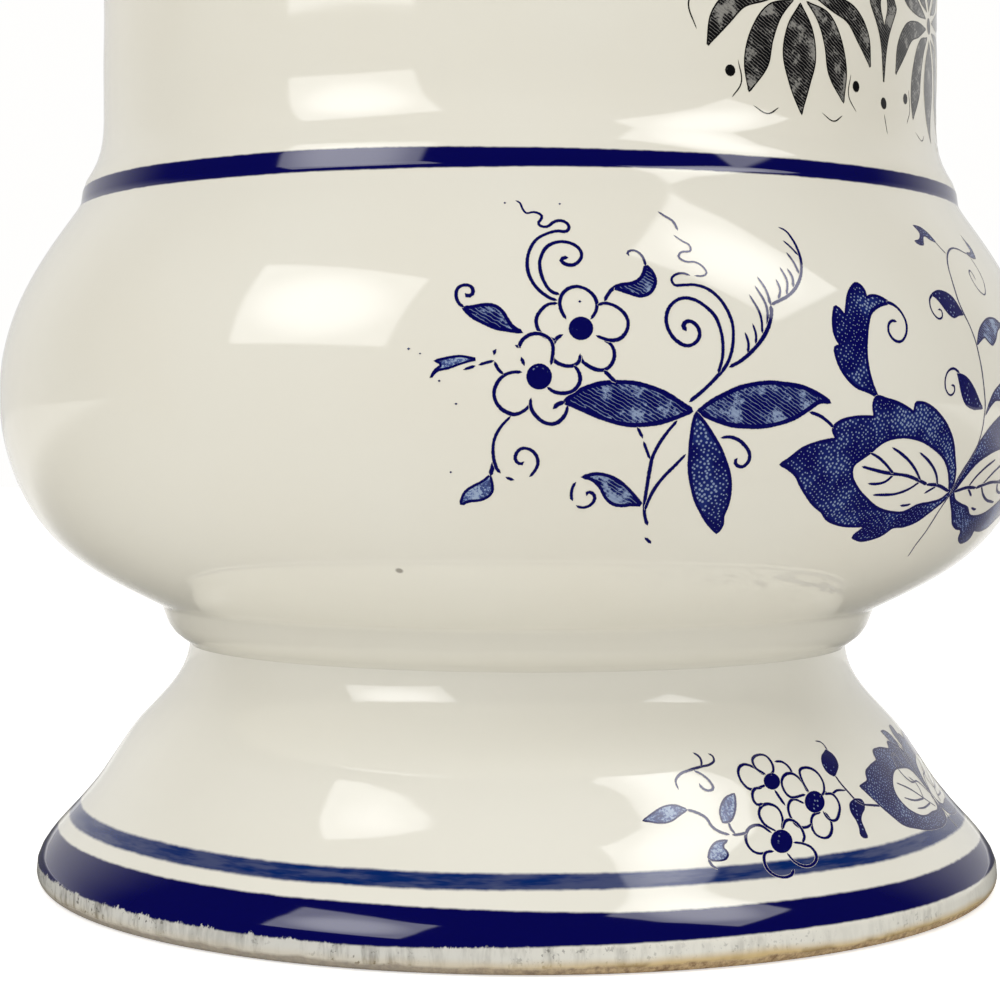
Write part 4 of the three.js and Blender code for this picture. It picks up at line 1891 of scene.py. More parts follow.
@dataclass
class BellySpray(Ornament):
    """The big spray of onion-pattern flowers on the belly, and its mirror image right of the front."""

    view: Viewpoint
    ENLARGED, SIDE_ENLARGED = 5.227, 6.533

    def compose(self) -> None:
        """Draws the left spray, its mirror image, the sprig between them and the specks."""
        self.upper = Card(self.wall, self.view, left=400, top=180, enlarged=self.ENLARGED)
        self.middle = Card(self.wall, self.view, left=640, top=180, enlarged=self.ENLARGED)
        self.flower = Card(self.wall, self.view, left=700, top=380, enlarged=self.ENLARGED)
        self.lower = Card(self.wall, self.view, left=440, top=400, enlarged=self.ENLARGED)
        self.side = Card(self.wall, self.view, left=850, top=180, enlarged=self.SIDE_ENLARGED)
        self.scrolls()
        self.upper_blossom()
        self.lower_blossom()
        self.small_leaves()
        self.lance_leaves()
        self.feather()
        self.serrated_leaf()
        self.bloom()
        self.side_stem()
        self.art.mirrored()
        self.middle_sprig()
        self.specks()

    def specks(self) -> None:
        """Specks of stray colour between the flowers."""
        for x, y, across in (
            (940, 635, 9), (548, 120, 7), (835, 125, 7), (45, 882, 9), (293, 1170, 8), (265, 1527, 7),
            (205, 1050, 8), (105, 907, 6),
        ):
            self.art.disc(self.upper, x, y, across, across * 0.8, 0)

    def scrolls(self) -> None:
        """The wiggling tendrils, their stems and the spirals."""
        art = self.art
        art.line(self.upper, [
            (603, 107), (625, 118), (640, 150), (660, 174), (695, 168), (727, 176), (742, 190), (733, 212),
            (722, 226), (745, 245), (770, 244), (800, 222), (830, 212), (866, 222), (884, 246), (873, 267),
            (820, 267), (770, 280), (715, 310), (685, 350), (668, 400), (666, 460), (690, 530), (740, 588),
            (790, 620), (822, 630)], 0.95, (0.5, 1.0))
        art.line(self.upper, [
            (835, 600), (790, 582), (752, 530), (735, 480), (730, 430), (742, 388), (765, 352), (802, 330),
            (850, 323), (902, 335), (938, 362), (950, 392), (935, 425), (900, 446), (865, 440), (843, 422),
            (852, 408), (880, 408)], 1.0, (0.9, 1.2))
        art.line(self.middle, [(93, 165), (130, 190), (170, 215), (197, 265)], 0.8, (0.7, 0.9))
        art.line(self.middle, [
            (175, 288), (220, 320), (258, 342), (265, 368), (215, 378), (200, 400), (235, 426), (290, 430),
            (332, 458), (348, 490), (325, 502), (283, 500)], 0.62, (0.7, 0.8))
        art.line(self.middle, [
            (262, 500), (225, 488), (185, 495), (164, 520), (178, 548), (220, 550), (280, 548), (350, 568),
            (410, 615), (455, 680), (482, 750), (487, 830), (475, 910), (450, 970), (400, 1030), (330, 1100),
            (256, 1160)], 0.95, (0.6, 1.1))
        art.line(self.middle, [
            (408, 1012), (430, 930), (433, 860), (420, 780), (390, 710), (340, 660), (280, 625), (220, 618),
            (170, 645), (142, 690), (137, 742), (157, 800), (200, 848), (245, 867), (290, 850), (312, 808),
            (303, 772), (278, 745), (245, 739), (226, 762), (242, 790)], 1.0, (0.9, 1.2))
        art.line(self.lower, [
            (370, 85), (318, 140), (283, 210), (277, 270), (285, 325), (303, 368), (340, 400), (400, 420),
            (452, 410), (492, 375), (512, 330), (500, 285), (465, 256), (425, 254), (397, 282), (398, 320),
            (425, 335), (440, 322)], 0.85, (0.9, 1.1), ((0.405, 0.42), (0.5, 0.515), (0.56, 0.575)))
        art.line(self.lower, [
            (1240, 108), (1190, 165), (1140, 238), (1110, 300), (1095, 370), (1085, 430), (1074, 500),
            (1068, 560), (1070, 605), (1084, 655)], 1.0, (0.8, 1.0))
        art.line(self.lower, [
            (1285, 283), (1230, 340), (1170, 400), (1120, 465), (1085, 535), (1070, 575)], 0.95, (0.8, 1.0))
        art.line(self.lower, [
            (1030, 140), (1055, 190), (1075, 250), (1097, 310)], 0.8, (0.9, 0.9), ((0.38, 0.44),))
        art.line(self.lower, [(1070, 718), (1084, 730), (1103, 750)], 1.0, (0.8, 0.8))
        art.line(self.flower, [
            (108, 302), (150, 297), (197, 311), (237, 346), (259, 390), (250, 430), (222, 453), (193, 446),
            (183, 424), (196, 408)], 1.0, (0.8, 1.2))

    def upper_blossom(self) -> None:
        """The whole five-petalled blossom."""
        self.art.petals(self.upper, [
            ([(868, 728), (846, 690), (835, 640), (846, 600), (876, 570), (920, 557), (970, 570),
              (1010, 602), (1029, 645), (1022, 690), (996, 728)], ()),
            ([(1030, 655), (1065, 644), (1110, 653), (1155, 680), (1186, 720), (1192, 762), (1178, 800),
              (1145, 832), (1100, 838), (1060, 828), (1024, 812)], ()),
            ([(1062, 834), (1103, 860), (1121, 910), (1110, 955), (1075, 990), (1035, 993), (985, 972),
              (952, 945), (942, 908)], ()),
            ([(853, 808), (818, 828), (794, 868)], ()),
            ([(793, 905), (802, 940), (830, 960), (870, 972), (912, 968), (935, 950), (942, 908)], ()),
            ([(826, 646), (780, 648), (738, 680), (713, 722), (717, 770), (745, 810), (785, 830),
              (815, 838)], ()),
        ])
        self.art.disc(self.upper, 946, 776, 58, 55)

    def lower_blossom(self) -> None:
        """The worn six-petalled blossom."""
        self.art.petals(self.upper, [
            ([(650, 972), (637, 935), (625, 893), (630, 850), (655, 822), (700, 803), (750, 810), (788, 838),
              (800, 880), (796, 925), (788, 968)], ((0.13, 0.2),)),
            ([(542, 1018), (510, 985), (494, 942), (492, 900), (520, 872), (560, 858), (600, 862),
              (632, 878)], ((0.3, 0.4), (0.55, 0.85))),
            ([(638, 1005), (590, 1004), (540, 1024), (503, 1070), (491, 1120), (507, 1170), (550, 1210),
              (600, 1225), (648, 1206), (686, 1170)], ()),
            ([(700, 1108), (683, 1150), (687, 1196), (717, 1240), (760, 1270), (808, 1274), (850, 1245),
              (872, 1205), (876, 1178)], ((0.02, 0.08),)),
            ([(768, 1080), (800, 1105), (850, 1115), (900, 1104), (934, 1070), (942, 1032), (930, 995),
              (908, 968)], ()),
        ])
        self.art.disc(self.upper, 727, 1027, 60, 62)

    def small_leaves(self) -> None:
        """The curled and worn leaves round the blossoms."""
        art = self.art
        art.shape(self.upper, [
            (330, 668), (330, 668), (380, 662), (430, 652), (490, 655), (530, 680), (560, 725), (590, 768),
            (642, 797), (642, 797), (565, 787), (500, 775), (430, 745), (370, 710)], Tone.HATCHED, 0.9)
        art.line(self.upper, [
            (335, 668), (305, 640), (293, 600), (302, 566), (332, 550), (365, 553), (382, 577), (374, 602),
            (350, 605), (340, 592)], 0.95, (1.0, 1.1))
        art.shape(self.upper, [
            (180, 945), (180, 945), (250, 928), (320, 920), (398, 937), (398, 937), (320, 960), (250, 985),
            (190, 1000), (155, 1045), (155, 1045), (185, 990), (215, 965)], Tone.WORN, 0.6)
        art.line(
            self.upper, [(330, 992), (400, 970), (450, 955), (492, 945)], 0.8, (0.6, 1.0), ((0.45, 0.5),))
        art.shape(self.upper, [
            (1112, 562), (1112, 562), (1160, 545), (1210, 540), (1250, 520), (1275, 480), (1282, 445),
            (1282, 445), (1312, 472), (1336, 520), (1328, 562), (1300, 595), (1250, 608), (1200, 592),
            (1150, 575)], Tone.HATCHED, 0.9)
        art.line(self.upper, [
            (1283, 450), (1272, 410), (1245, 378), (1212, 368), (1188, 382), (1197, 398)], 0.7, (1.2, 1.1))
        art.line(self.upper, [(1120, 560), (1092, 590), (1067, 635)], 1.0, (1.0, 1.0))
        art.shape(self.lower, [
            (262, 393), (262, 393), (215, 428), (168, 452), (130, 480), (105, 550), (105, 550), (150, 530),
            (205, 525), (248, 508), (274, 478), (274, 440)], Tone.WORN, 0.7)
        art.line(self.lower, [(283, 315), (272, 360), (262, 398)], 1.1, (0.8, 1.0))
        art.shape(self.lower, [
            (745, 402), (745, 402), (810, 385), (880, 395), (940, 425), (990, 470), (1056, 550), (1056, 550),
            (1000, 548), (950, 553), (905, 545), (862, 508), (838, 460), (800, 420)], Tone.HATCHED, 0.85)
        art.line(self.lower, [
            (750, 400), (705, 435), (686, 490), (700, 540), (745, 562), (790, 545), (809, 512), (796, 486),
            (768, 484), (765, 500)], 0.85, (1.0, 1.2), ((0.07, 0.1), (0.42, 0.45)))

    def lance_leaves(self) -> None:
        """The three broad leaves that meet in the middle of the spray."""
        art = self.art
        art.shape(self.upper, [
            (858, 1160), (858, 1160), (920, 1110), (1000, 1075), (1080, 1058), (1150, 1055), (1230, 1061),
            (1310, 1082), (1390, 1115), (1460, 1158), (1531, 1205), (1531, 1205), (1450, 1240), (1370, 1266),
            (1280, 1280), (1190, 1280), (1100, 1260), (1010, 1226), (930, 1190)], Tone.HATCHED, 1.1)
        art.line(self.upper, [(798, 1197), (825, 1172), (865, 1160)], 1.1, (0.5, 1.2))
        art.line(self.upper, [(1064, 993), (1095, 1025), (1130, 1060)], 1.1, (0.8, 1.0))
        art.shape(self.middle, [
            (300, 1212), (300, 1212), (360, 1165), (440, 1120), (520, 1085), (600, 1065), (690, 1058),
            (780, 1068), (860, 1085), (930, 1118), (997, 1163), (997, 1163), (940, 1160), (890, 1192),
            (820, 1238), (740, 1270), (650, 1288), (560, 1290), (470, 1280), (380, 1250)], Tone.HATCHED, 1.1)
        art.line(self.middle, [(885, 1212), (940, 1233), (980, 1262), (1012, 1295)], 0.9, (0.9, 0.9))
        art.shape(self.lower, [
            (1340, 68), (1340, 68), (1385, 120), (1430, 190), (1465, 250), (1495, 330), (1516, 410),
            (1515, 490), (1500, 560), (1478, 612), (1476, 650), (1448, 695), (1448, 695), (1425, 672),
            (1390, 630), (1355, 570), (1330, 510), (1311, 430), (1302, 350), (1305, 270), (1312, 190),
            (1325, 110)], Tone.STIPPLED, 0.9)

    def feather(self) -> None:
        """The feathered stem, whose hairs follow it."""
        art = self.art
        art.line(self.middle, [
            (465, 978), (520, 950), (580, 900), (632, 840), (670, 770), (686, 705), (684, 655)], 1.1,
            (0.9, 1.0))
        art.line(self.middle, [
            (684, 652), (720, 635), (770, 608), (815, 560), (841, 490), (840, 420), (825, 368), (795, 310),
            (757, 264), (722, 247)], 0.9, (1.0, 0.6))
        hairs = (
            (562, 905, 567, 860, 548, 795), (605, 862, 606, 810, 588, 750), (640, 805, 630, 710, 570, 598),
            (668, 770, 660, 660, 600, 552), (682, 655, 660, 580, 612, 505), (722, 625, 732, 575, 710, 518),
            (765, 600, 768, 530, 730, 455), (800, 560, 796, 510, 768, 462), (830, 490, 808, 440, 764, 378),
            (826, 395, 790, 355, 746, 316),
        )
        for a, b, c, d, e, f in hairs:
            art.line(self.middle, [(a, b), (c, d), (e, f)], 0.72, (1.2, 0.6))

    def serrated_leaf(self) -> None:
        """The upright notched leaf with its curl."""
        art = self.art
        art.shape(self.middle, [
            (1240, 1132), (1240, 1132), (1190, 1105), (1130, 1080), (1080, 1030), (1042, 970), (1024, 920),
            (1016, 872), (1016, 872), (1048, 868), (1048, 868), (1018, 810), (1009, 740), (1017, 656),
            (1017, 656), (1045, 678), (1072, 712), (1072, 712), (1078, 660), (1084, 610), (1102, 568),
            (1136, 541), (1165, 566), (1183, 612), (1183, 612), (1215, 603), (1255, 612), (1300, 642),
            (1300, 642), (1240, 664), (1208, 692), (1192, 760), (1185, 830), (1185, 920), (1196, 1000),
            (1220, 1080)], Tone.STIPPLED, 0.9)
        art.line(self.middle, [
            (1285, 636), (1335, 660), (1370, 700), (1392, 755), (1390, 805), (1356, 846), (1320, 830),
            (1298, 790), (1300, 752), (1320, 735), (1342, 742)], 0.85, (1.2, 0.9))

    BLOOM = [
        (420, 441), (420, 441), (468, 408), (530, 360), (600, 330), (712, 306), (712, 306), (694, 252),
        (735, 214), (800, 195), (912, 192), (912, 192), (905, 130), (914, 96), (980, 100), (1050, 125),
        (1118, 168), (1118, 168), (1126, 118), (1126, 118), (1165, 118), (1212, 142), (1262, 192),
        (1298, 252), (1322, 320), (1331, 400), (1335, 480), (1325, 545), (1306, 600), (1306, 600),
        (1260, 642), (1200, 690), (1130, 740), (1060, 765), (1000, 775), (960, 805), (900, 830),
        (822, 835), (800, 812), (830, 790), (858, 764), (858, 764), (800, 765), (720, 755), (660, 725),
        (635, 688), (635, 688), (600, 660), (560, 610), (525, 550), (500, 500), (462, 466)]
    HEART = [
        (938, 338), (990, 310), (1050, 299), (1120, 305), (1190, 335), (1240, 373), (1280, 420),
        (1297, 475), (1302, 530), (1300, 585), (1300, 585), (1260, 620), (1200, 640), (1130, 655),
        (1060, 690), (1000, 690), (930, 670), (870, 620), (820, 560), (794, 500), (800, 450), (840, 415),
        (890, 380)]
    VEINS = (
        ([(1300, 582), (1240, 550), (1182, 545)], 1.0),
        ([(1185, 545), (1150, 528), (1080, 500), (1010, 490), (950, 480), (900, 467), (846, 452)], 1.0),
        ([(1010, 490), (970, 440), (930, 403), (888, 380)], 0.85),
        ([(1152, 525), (1120, 460), (1080, 410), (1045, 380), (1004, 352)], 0.85),
        ([(1240, 548), (1235, 500), (1200, 430), (1148, 378)], 0.85),
        ([(1015, 490), (970, 530), (920, 543), (878, 541)], 0.85),
        ([(1150, 530), (1090, 570), (1020, 595), (950, 600), (903, 600)], 0.85),
        ([(1238, 552), (1205, 572), (1170, 592)], 0.8),
        ([(1045, 655), (1072, 655), (1102, 648)], 0.75),
    )

    def bloom(self) -> None:
        """The great flower: a notched dark leaf round a pale veined heart, and its fellow."""
        left = self.flower
        junction = left.place([(1306, 600)])[0]
        self.one_leaf(left)
        self.one_leaf(Facing(left, float(junction[0]), float(junction[1]), -6.0))
        self.art.line(left, [
            (1485, 190), (1476, 250), (1450, 340), (1400, 440), (1350, 520), (1310, 590), (1250, 680),
            (1180, 790), (1120, 870), (1086, 922)], 0.6, (0.9, 0.9))

    def one_leaf(self, sheet: Sheet) -> None:
        """Draws one half of the great flower.

        Args:
            sheet: the half's sheet.
        """
        self.art.shape(sheet, self.BLOOM, Tone.STIPPLED, 0.8, (self.HEART,))
        for points, width in self.VEINS:
            self.art.line(sheet, points, width, (0.9, 0.7))

    def side_stem(self) -> None:
        """The slender stem that rises from the flower, with its buds and curls."""
        art = self.art
        art.line(self.side, [
            (872, 1568), (882, 1480), (878, 1400), (870, 1320), (858, 1230), (842, 1150), (826, 1080),
            (800, 1000), (770, 930), (740, 868), (710, 800), (684, 720), (660, 640), (643, 580), (634, 520),
            (640, 472), (668, 446), (702, 452), (745, 475), (785, 495)], 0.62, (1.0, 0.9))
        art.shape(self.side, [
            (722, 362), (722, 362), (745, 392), (785, 440), (820, 512), (820, 512), (793, 508), (765, 487),
            (785, 465), (762, 425)], Tone.STIPPLED, 0.5)
        art.line(self.side, [
            (780, 500), (820, 560), (858, 630), (880, 700), (876, 750), (842, 722), (802, 662), (778, 610),
            (784, 592), (803, 620), (820, 655)], 0.5, (0.8, 1.2))
        art.shape(self.side, [
            (412, 298), (412, 298), (455, 308), (507, 347), (560, 408), (560, 408), (518, 388), (486, 365),
            (478, 425), (478, 425), (448, 420), (422, 400), (422, 400), (455, 385), (450, 340)],
            Tone.STIPPLED, 0.5)
        art.line(self.side, [(555, 403), (590, 445), (627, 482)], 0.6, (1.0, 0.9))
        art.shape(self.side, [
            (738, 878), (738, 878), (708, 882), (672, 896), (640, 870), (602, 820), (566, 775), (530, 748),
            (530, 748), (572, 725), (622, 735), (672, 772), (710, 830)], Tone.SOLID, 0.6)
        art.line(self.side, [
            (536, 745), (519, 785), (526, 835), (552, 885), (585, 908), (603, 882), (594, 850), (574, 846)],
            0.62, (1.2, 1.1))
        art.shape(self.side, [
            (830, 1075), (830, 1075), (838, 1000), (866, 935), (905, 903), (948, 910), (990, 950),
            (990, 950), (962, 985), (950, 1045), (930, 1082), (930, 1082), (902, 1055), (880, 1028),
            (858, 1045)], Tone.HATCHED, 0.55)
        art.shape(self.side, [
            (864, 1492), (864, 1492), (800, 1492), (755, 1462), (730, 1400), (716, 1335), (700, 1262),
            (700, 1262), (760, 1290), (812, 1368), (842, 1440)], Tone.SOLID, 0.6)
        art.line(self.side, [
            (715, 1262), (678, 1232), (640, 1250), (620, 1310), (626, 1372), (655, 1406), (681, 1380),
            (680, 1346), (660, 1340)], 0.62, (1.4, 1.1))
        art.shape(self.side, [
            (884, 1535), (884, 1535), (903, 1472), (930, 1402), (985, 1325), (985, 1325), (1010, 1340),
            (990, 1430), (950, 1440), (915, 1482)], Tone.STIPPLED, 0.55)

    def middle_sprig(self) -> None:
        """The small upright sprig between the two halves, in front."""
        art = self.art
        for side in (Patch(), Patch(across=-1.0)):
            art.shape(side, [
                (0.5, -9), (0.5, -9), (4.5, -5.6), (9, -4.6), (13, -6), (16.5, -9.6), (16.5, -9.6),
                (12.5, -11.2), (8, -11.6), (4, -10.6)], Tone.HATCHED, 0.9)
            art.line(side, [
                (0.3, -8), (3.4, -1), (7.6, 3), (12, 4), (15, 1.6), (14.8, -1.4), (12.2, -2.2), (10.8, -0.6),
                (12, 0.6)], 0.8, (0.9, 1.1))
            art.line(side, [
                (3.2, 19), (5.6, 22.4), (9.4, 24.2), (12.8, 22.6), (13, 19.6), (10.8, 18.4), (9.4, 20)],
                0.75, (0.9, 1.1))
            art.shape(side, [
                (0.2, -19), (0.2, -19), (3, -17.2), (6.2, -17.4), (9, -20.4), (9, -20.4), (6.4, -22),
                (3, -21.4)], Tone.STIPPLED, 0.7)
        art.line(Patch(), [(0, 3.2), (0.3, -4), (0, -12), (-0.3, -20), (0, -26)], 0.9, (1.0, 0.7))
        blossom(art, Patch(0.0, 11.5), petals=6, across=3.3, out=5.3, middle=2.1)


@dataclass
class Facing:
    """A card's image across an upright line through a flat point, tipped about that point."""

    card: Card
    right: float
    up: float
    tip: float

    def place(self, points: Points) -> np.ndarray:
        """Card points as their mirrored flat points."""
        flat = (self.card.place(points) - (self.right, self.up)) * (-1, 1)
        return turned(flat, self.tip) + (self.right, self.up)


@dataclass
class FootSpray(Ornament):
    """The small spray on the bell foot: three blossoms, leaves, and a flower that it mirrors about."""

    view: Viewpoint
    ENLARGED = 4.612

    def compose(self) -> None:
        """Draws the cluster, its leaves and the flower."""
        self.sheet = Card(self.wall, self.view, left=620, top=720, enlarged=self.ENLARGED)
        self.blossoms()
        self.leaves()
        self.bloom()

    def blossoms(self) -> None:
        """The cluster of three blossoms."""
        art, sheet = self.art, self.sheet
        art.petals(sheet, [
            ([(665, 255), (610, 215), (570, 205), (545, 230), (555, 275), (600, 320), (640, 312),
              (672, 300)], ()),
            ([(672, 252), (620, 215), (610, 185), (635, 162), (670, 165), (700, 200), (705, 240),
              (690, 255)], ()),
            ([(712, 192), (750, 195), (780, 220), (797, 255)], ()),
            ([(655, 315), (620, 318), (610, 350), (630, 390), (660, 385)], ()),
            ([(712, 322), (730, 350), (762, 396)], ()),
            ([(855, 345), (770, 345), (745, 290), (765, 250), (800, 250), (835, 280), (865, 335)], ()),
            ([(872, 335), (840, 280), (828, 235), (860, 220), (905, 240), (935, 285), (940, 330),
              (922, 357)], ()),
            ([(940, 342), (985, 347), (1010, 388), (1010, 430), (985, 465), (958, 455), (935, 420)], ()),
            ([(925, 425), (890, 440), (882, 480), (905, 530), (945, 545), (975, 515), (970, 462),
              (945, 425)], ()),
            ([(850, 385), (795, 367), (775, 400), (785, 445), (820, 490), (860, 495), (885, 478)], ()),
            ([(722, 515), (660, 475), (640, 430), (655, 396), (690, 388), (730, 410), (748, 450),
              (746, 505)], ()),
            ([(700, 522), (640, 485), (600, 495), (580, 530), (590, 580), (620, 610), (665, 615),
              (695, 600)], ()),
            ([(710, 606), (672, 612), (665, 652), (690, 700), (740, 725), (790, 715), (802, 688)], ()),
            ([(770, 613), (800, 650), (850, 675), (900, 655), (905, 625), (880, 587), (840, 570),
              (798, 565)], ()),
            ([(748, 505), (770, 462), (800, 465), (835, 500), (850, 540), (840, 567)], ()),
        ])
        art.disc(sheet, 700, 283, 34, 34)
        art.disc(sheet, 897, 378, 42, 46)
        art.disc(sheet, 745, 560, 46, 50)

    def leaves(self) -> None:
        """The worn leaves, the bud and the curls round the blossoms."""
        art, sheet = self.art, self.sheet
        art.line(sheet, [
            (270, 322), (256, 282), (277, 250), (320, 232), (375, 215), (415, 205), (434, 185), (425, 165),
            (405, 155)], 0.9, (0.6, 0.7))
        art.line(sheet, [(335, 150), (365, 170), (376, 200), (372, 216)], 0.8, (0.7, 0.8))
        art.line(sheet, [
            (340, 233), (382, 255), (415, 285), (430, 315), (405, 326), (375, 310), (365, 293)], 0.9,
            (0.8, 1.1))
        art.shape(sheet, [
            (105, 464), (105, 464), (150, 430), (200, 400), (250, 392), (312, 414), (312, 414), (272, 442),
            (240, 465), (190, 476), (140, 470)], Tone.WORN, 0.5)
        art.line(sheet, [
            (308, 413), (360, 430), (400, 455), (422, 490), (470, 520), (530, 530), (585, 520)], 0.95,
            (0.9, 0.9), ((0.72, 0.76),))
        art.shape(sheet, [
            (473, 472), (473, 472), (460, 430), (467, 390), (490, 355), (528, 340), (528, 340), (533, 385),
            (528, 430), (500, 472)], Tone.WORN, 0.6)
        art.line(sheet, [(500, 470), (510, 500), (532, 527)], 0.9)
        art.shape(sheet, [
            (495, 555), (495, 555), (445, 562), (415, 597), (406, 645), (406, 645), (445, 650), (490, 640),
            (497, 610), (475, 588)], Tone.WORN, 0.6)
        art.line(sheet, [(407, 640), (425, 672), (452, 690)], 0.9)
        art.line(sheet, [(898, 97), (930, 105), (957, 142)], 0.7, (0.6, 1.2))
        art.shape(sheet, [
            (950, 138), (950, 138), (985, 165), (1003, 200), (996, 240), (988, 258), (988, 258), (958, 243),
            (938, 215), (930, 185)], Tone.SOLID, 0.6)
        art.line(sheet, [
            (990, 255), (1015, 290), (1050, 330), (1082, 365), (1120, 388), (1160, 393), (1202, 396)], 0.8,
            (0.9, 0.9))
        art.line(sheet, [(938, 327), (967, 342), (1000, 325), (1042, 325)], 0.8)
        art.shape(sheet, [
            (1083, 365), (1083, 365), (1120, 375), (1126, 402), (1114, 432), (1110, 462), (1125, 500),
            (1142, 542), (1142, 542), (1116, 540), (1105, 500), (1088, 460), (1068, 430), (1060, 392)],
            Tone.SOLID, 0.6)

    def bloom(self) -> None:
        """The notched flower, its twin on the other side, and the stems that rise between them."""
        art, sheet = self.art, self.sheet
        middle, height = sheet.place([(1480, 402)])[0]
        art.shape(sheet, [
            (1105, 306), (1105, 306), (1142, 280), (1142, 280), (1133, 250), (1150, 215), (1183, 186),
            (1183, 186), (1168, 155), (1190, 130), (1242, 134), (1242, 134), (1232, 106), (1262, 110),
            (1312, 150), (1362, 220), (1410, 300), (1450, 370), (1480, 402), (1480, 402), (1500, 440),
            (1496, 478), (1460, 500), (1430, 506), (1370, 500), (1300, 480), (1250, 440), (1200, 396)],
            Tone.STIPPLED, 0.6, ([
                (1258, 250), (1300, 220), (1342, 232), (1400, 300), (1448, 368), (1462, 396), (1440, 425),
                (1380, 438), (1320, 402), (1272, 342)],))
        for points in (
            [(1455, 398), (1400, 360), (1340, 320), (1275, 290)], [(1400, 360), (1370, 300), (1330, 262)],
            [(1400, 362), (1350, 370), (1310, 358)], [(1430, 382), (1400, 405), (1372, 408)],
        ):
            art.line(sheet, points, 0.7, (0.9, 0.7))
        art.mirrored(middle)
        stem = Patch(middle, height)
        art.line(stem, [(0, -4.5), (-0.4, 1), (0.6, 7), (0.2, 12), (-1.6, 15.5)], 0.8, (0.9, 0.7))
        for side in (Patch(middle, height, across=-1.0), stem):
            art.shape(side, [
                (1.2, 12.6), (1.2, 12.6), (3.8, 13.4), (5.4, 16.6), (5.4, 16.6), (2.6, 16.4), (1, 15)],
                Tone.STIPPLED, 0.6)
            art.line(side, [(0.4, 7.4), (1.6, 10.2), (1.6, 13)], 0.7)
            art.line(side, [
                (0.3, 3), (3.4, 6), (7.2, 6.6), (9.4, 9.2), (8.4, 12), (6.2, 11.6), (6.4, 9.8)], 0.7,
                (0.9, 1.1))


@dataclass
class LabelFrieze(Ornament):
    """A black frieze round the front of the straight wall: double palmettes with lozenges between."""

    palmettes: tuple[float, ...] = (-66.0, -22.0, 22.0, 66.0)
    lozenges: tuple[float, ...] = (-44.0, 0.0, 44.0)
    tails: float = 84.0

    def compose(self) -> None:
        """Draws the palmettes, the lozenges and the tails at both ends."""
        for place in self.palmettes:
            self.palmette(place)
        for place in self.lozenges:
            self.lozenge(place)
        for side in (-1.0, 1.0):
            self.tail(Patch(side * self.tails, across=side))

    def palmette(self, place: float) -> None:
        """Draws five fronds up and five down about a round centre.

        Args:
            place: its middle, in millimetres right of the front.
        """
        art = self.art
        for upward in (1.0, -1.0):
            upright = Patch(place, upward=upward)
            art.shape(upright, [
                (0, 2.6), (0, 2.6), (2.6, 6.4), (3.5, 11), (2.2, 15.4), (0, 20.4), (0, 20.4),
                (-2.2, 15.4), (-3.5, 11), (-2.6, 6.4)], Tone.HATCHED, 0.8)
            for across in (1.0, -1.0):
                side = Patch(place, across=across, upward=upward)
                art.shape(side, [
                    (1.4, 2.2), (1.4, 2.2), (4.0, 5.2), (5.6, 9.0), (6.4, 12.8), (10.2, 17.6),
                    (10.2, 17.6), (11.0, 12.4), (9.8, 7.8), (6.6, 3.6)], Tone.HATCHED, 0.8)
                art.shape(side, [
                    (2.4, 0.9), (2.4, 0.9), (7.2, 3.0), (11.2, 4.4), (13.8, 7.0), (17.8, 11.0),
                    (17.8, 11.0), (17.0, 5.6), (13.6, 1.9), (8.0, 0.6)], Tone.HATCHED, 0.8)
                art.line(side, [(4.6, 19.6), (7.0, 20.8), (9.6, 19.6)], 0.8, (0.4, 0.4))
                art.disc(side, 13.6, 14.4, 0.85, 0.85)
                art.line(side, [(12.2, 12.6), (11.6, 16.2), (13.4, 18.6)], 0.8, (0.4, 0.6))
        art.disc(Patch(place), 0, 0, 1.35, 1.35)

    def lozenge(self, place: float) -> None:
        """Draws a hollow-sided lozenge on a hairline, with dots above and below it.

        Args:
            place: its middle, in millimetres right of the front.
        """
        art, sheet = self.art, Patch(place)
        art.shape(sheet, [
            (0, 13), (0, 13), (1.5, 5.2), (4.6, 0), (4.6, 0), (1.5, -5.2), (0, -13), (0, -13),
            (-1.5, -5.2), (-4.6, 0), (-4.6, 0), (-1.5, 5.2)], Tone.HATCHED, 0.8,
            ([(0, 3.4), (0, 3.4), (1.2, 0), (0, -3.4), (0, -3.4), (-1.2, 0)],))
        for upward in (1.0, -1.0):
            art.disc(sheet, 0, 16.2 * upward, 0.9, 0.9)
            art.line(sheet, [(0, 18 * upward), (0.1, 19.5 * upward), (0, 21.5 * upward)], 0.8, (0.9, 0.4))

    def tail(self, sheet: Patch) -> None:
        """Draws a leaf and two curls that close one end.

        Args:
            sheet: the patch, which starts at the leaf's foot.
        """
        art = self.art
        art.shape(sheet, [
            (0, 0), (0, 0), (2.2, 1.9), (5.4, 1.5), (8.6, 0), (8.6, 0), (5.4, -1.5), (2.2, -1.9)],
            Tone.SOLID, 0.7)
        for upward in (1.0, -1.0):
            art.line(sheet, [(1, 0.8 * upward), (3, 4.4 * upward), (1.6, 8.4 * upward)], 0.9, (0.9, 0.5))


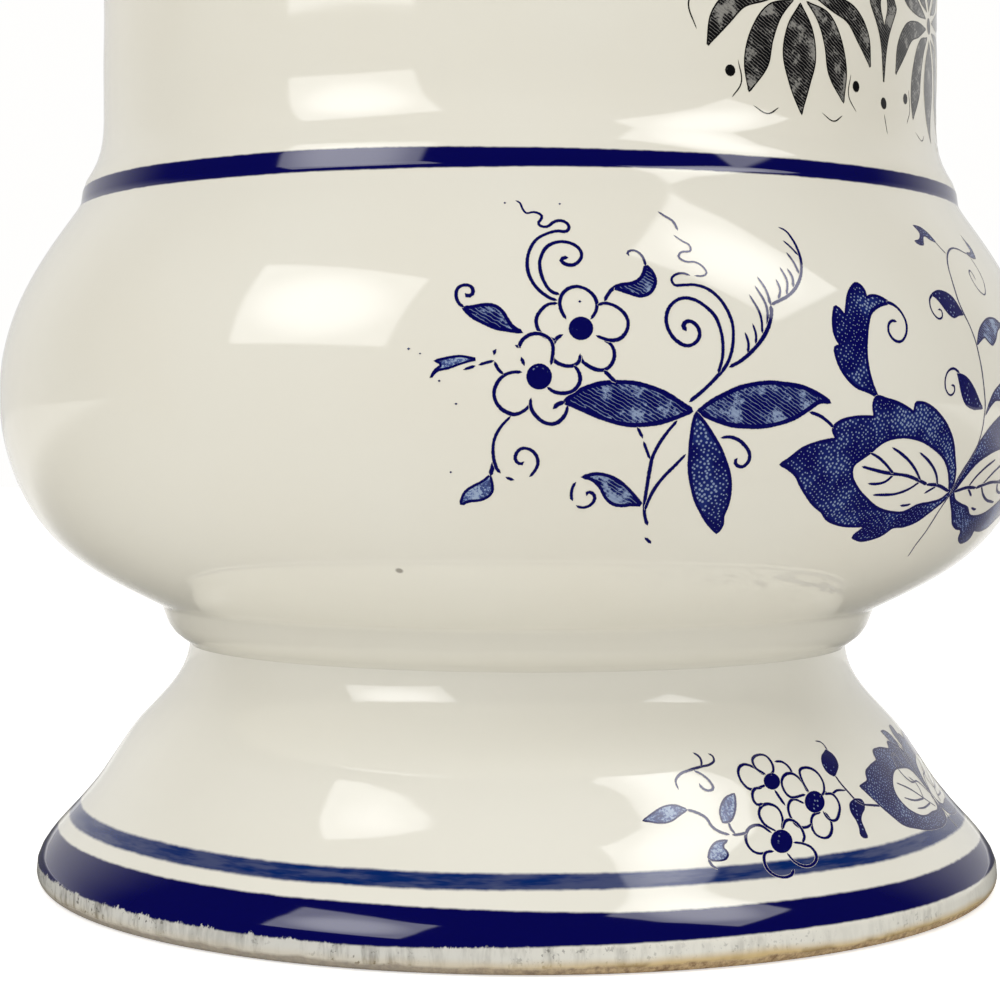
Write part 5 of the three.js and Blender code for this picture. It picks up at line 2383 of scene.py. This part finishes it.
@dataclass
class LidSprig(Ornament):
    """A blossom between two leaves and curls, set round the dome."""

    count: int = 4

    def compose(self) -> None:
        """Draws every copy."""
        for i in range(self.count):
            self.sprig(math.tau * self.wall.reference * i / self.count)

    def sprig(self, place: float) -> None:
        """Draws one copy.

        Args:
            place: its middle, in millimetres right of the front.
        """
        art = self.art
        blossom(art, Patch(place, 0.5), petals=5, across=3.0, out=4.6, middle=1.9)
        for across in (1.0, -1.0):
            side = Patch(place, across=across)
            art.shape(side, [
                (7.4, -2.6), (7.4, -2.6), (11, -0.4), (15, -0.2), (19.4, -3), (19.4, -3), (15.6, -5.4),
                (11, -5.4)], Tone.HATCHED, 0.9)
            art.line(side, [
                (5, 5.6), (8.6, 9.4), (12.8, 9.6), (15, 6.6), (13.2, 3.8), (10.8, 5), (11.6, 6.8)], 0.8,
                (0.9, 1.1))
            art.line(side, [(0.8, -7.4), (4.4, -6.2), (8, -3)], 0.9, (1.0, 0.8))
            art.shape(side, [
                (2, -8.6), (2, -8.6), (5, -9.2), (8.4, -8.6), (10.6, -10.6), (10.6, -10.6), (7, -11.8),
                (3.6, -11)], Tone.STIPPLED, 0.7)
        art.line(Patch(place), [(0, -5.6), (0.3, -8.4), (0, -12)], 0.9, (1.0, 0.7))


def main() -> None:
    """Loads the frame and builds the camera, the studio and the jar in order."""
    logging.basicConfig(level=logging.INFO, format="%(name)s %(message)s")
    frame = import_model()
    view = Viewpoint()
    view.build()
    Studio().build(view)
    work = TurnedWork()
    work.build(frame["nodes"])
    blue = {tone: PrintInk("cobalt_" + tone.value, tone).build() for tone in Tone}
    black = {tone: PrintInk("black_" + tone.value, tone, *BLACK).build() for tone in Tone}
    vessel, foot, cover = (work.outlines[name] for name in ("vessel", "pedestal_foot", "lid_cover"))
    belly_wall = Wall(vessel.outside(low=0.052, high=0.1205), reference=92.0, datum=87.5)
    foot_wall = Wall(foot.outside(low=0.004, high=0.0425), reference=75.0, datum=24.0)
    label_wall = Wall(vessel.outside(low=0.1310, high=0.1800), reference=76.6, datum=152.5)
    dome_wall = Wall(cover.outside(low=0.2025, high=0.2200), reference=56.0, datum=214.0)
    prints = (
        (BellySpray(belly_wall, pen=0.68, view=view), "belly_spray", "jar", blue, "cobalt_print"),
        (FootSpray(foot_wall, pen=0.62, view=view), "foot_spray", "jar", blue, "cobalt_print"),
        (LabelFrieze(label_wall, pen=0.34), "label_frieze", "jar", black, "black_print"),
        (LidSprig(dome_wall, pen=0.5), "lid_sprigs", "lid", blue, "cobalt_print"),
    )
    roller = Roller()
    for ornament, name, body, inks, slot in prints:
        roller.print_on(ornament.draw(), name, body, inks, slot)


if __name__ == "__main__":
    main()
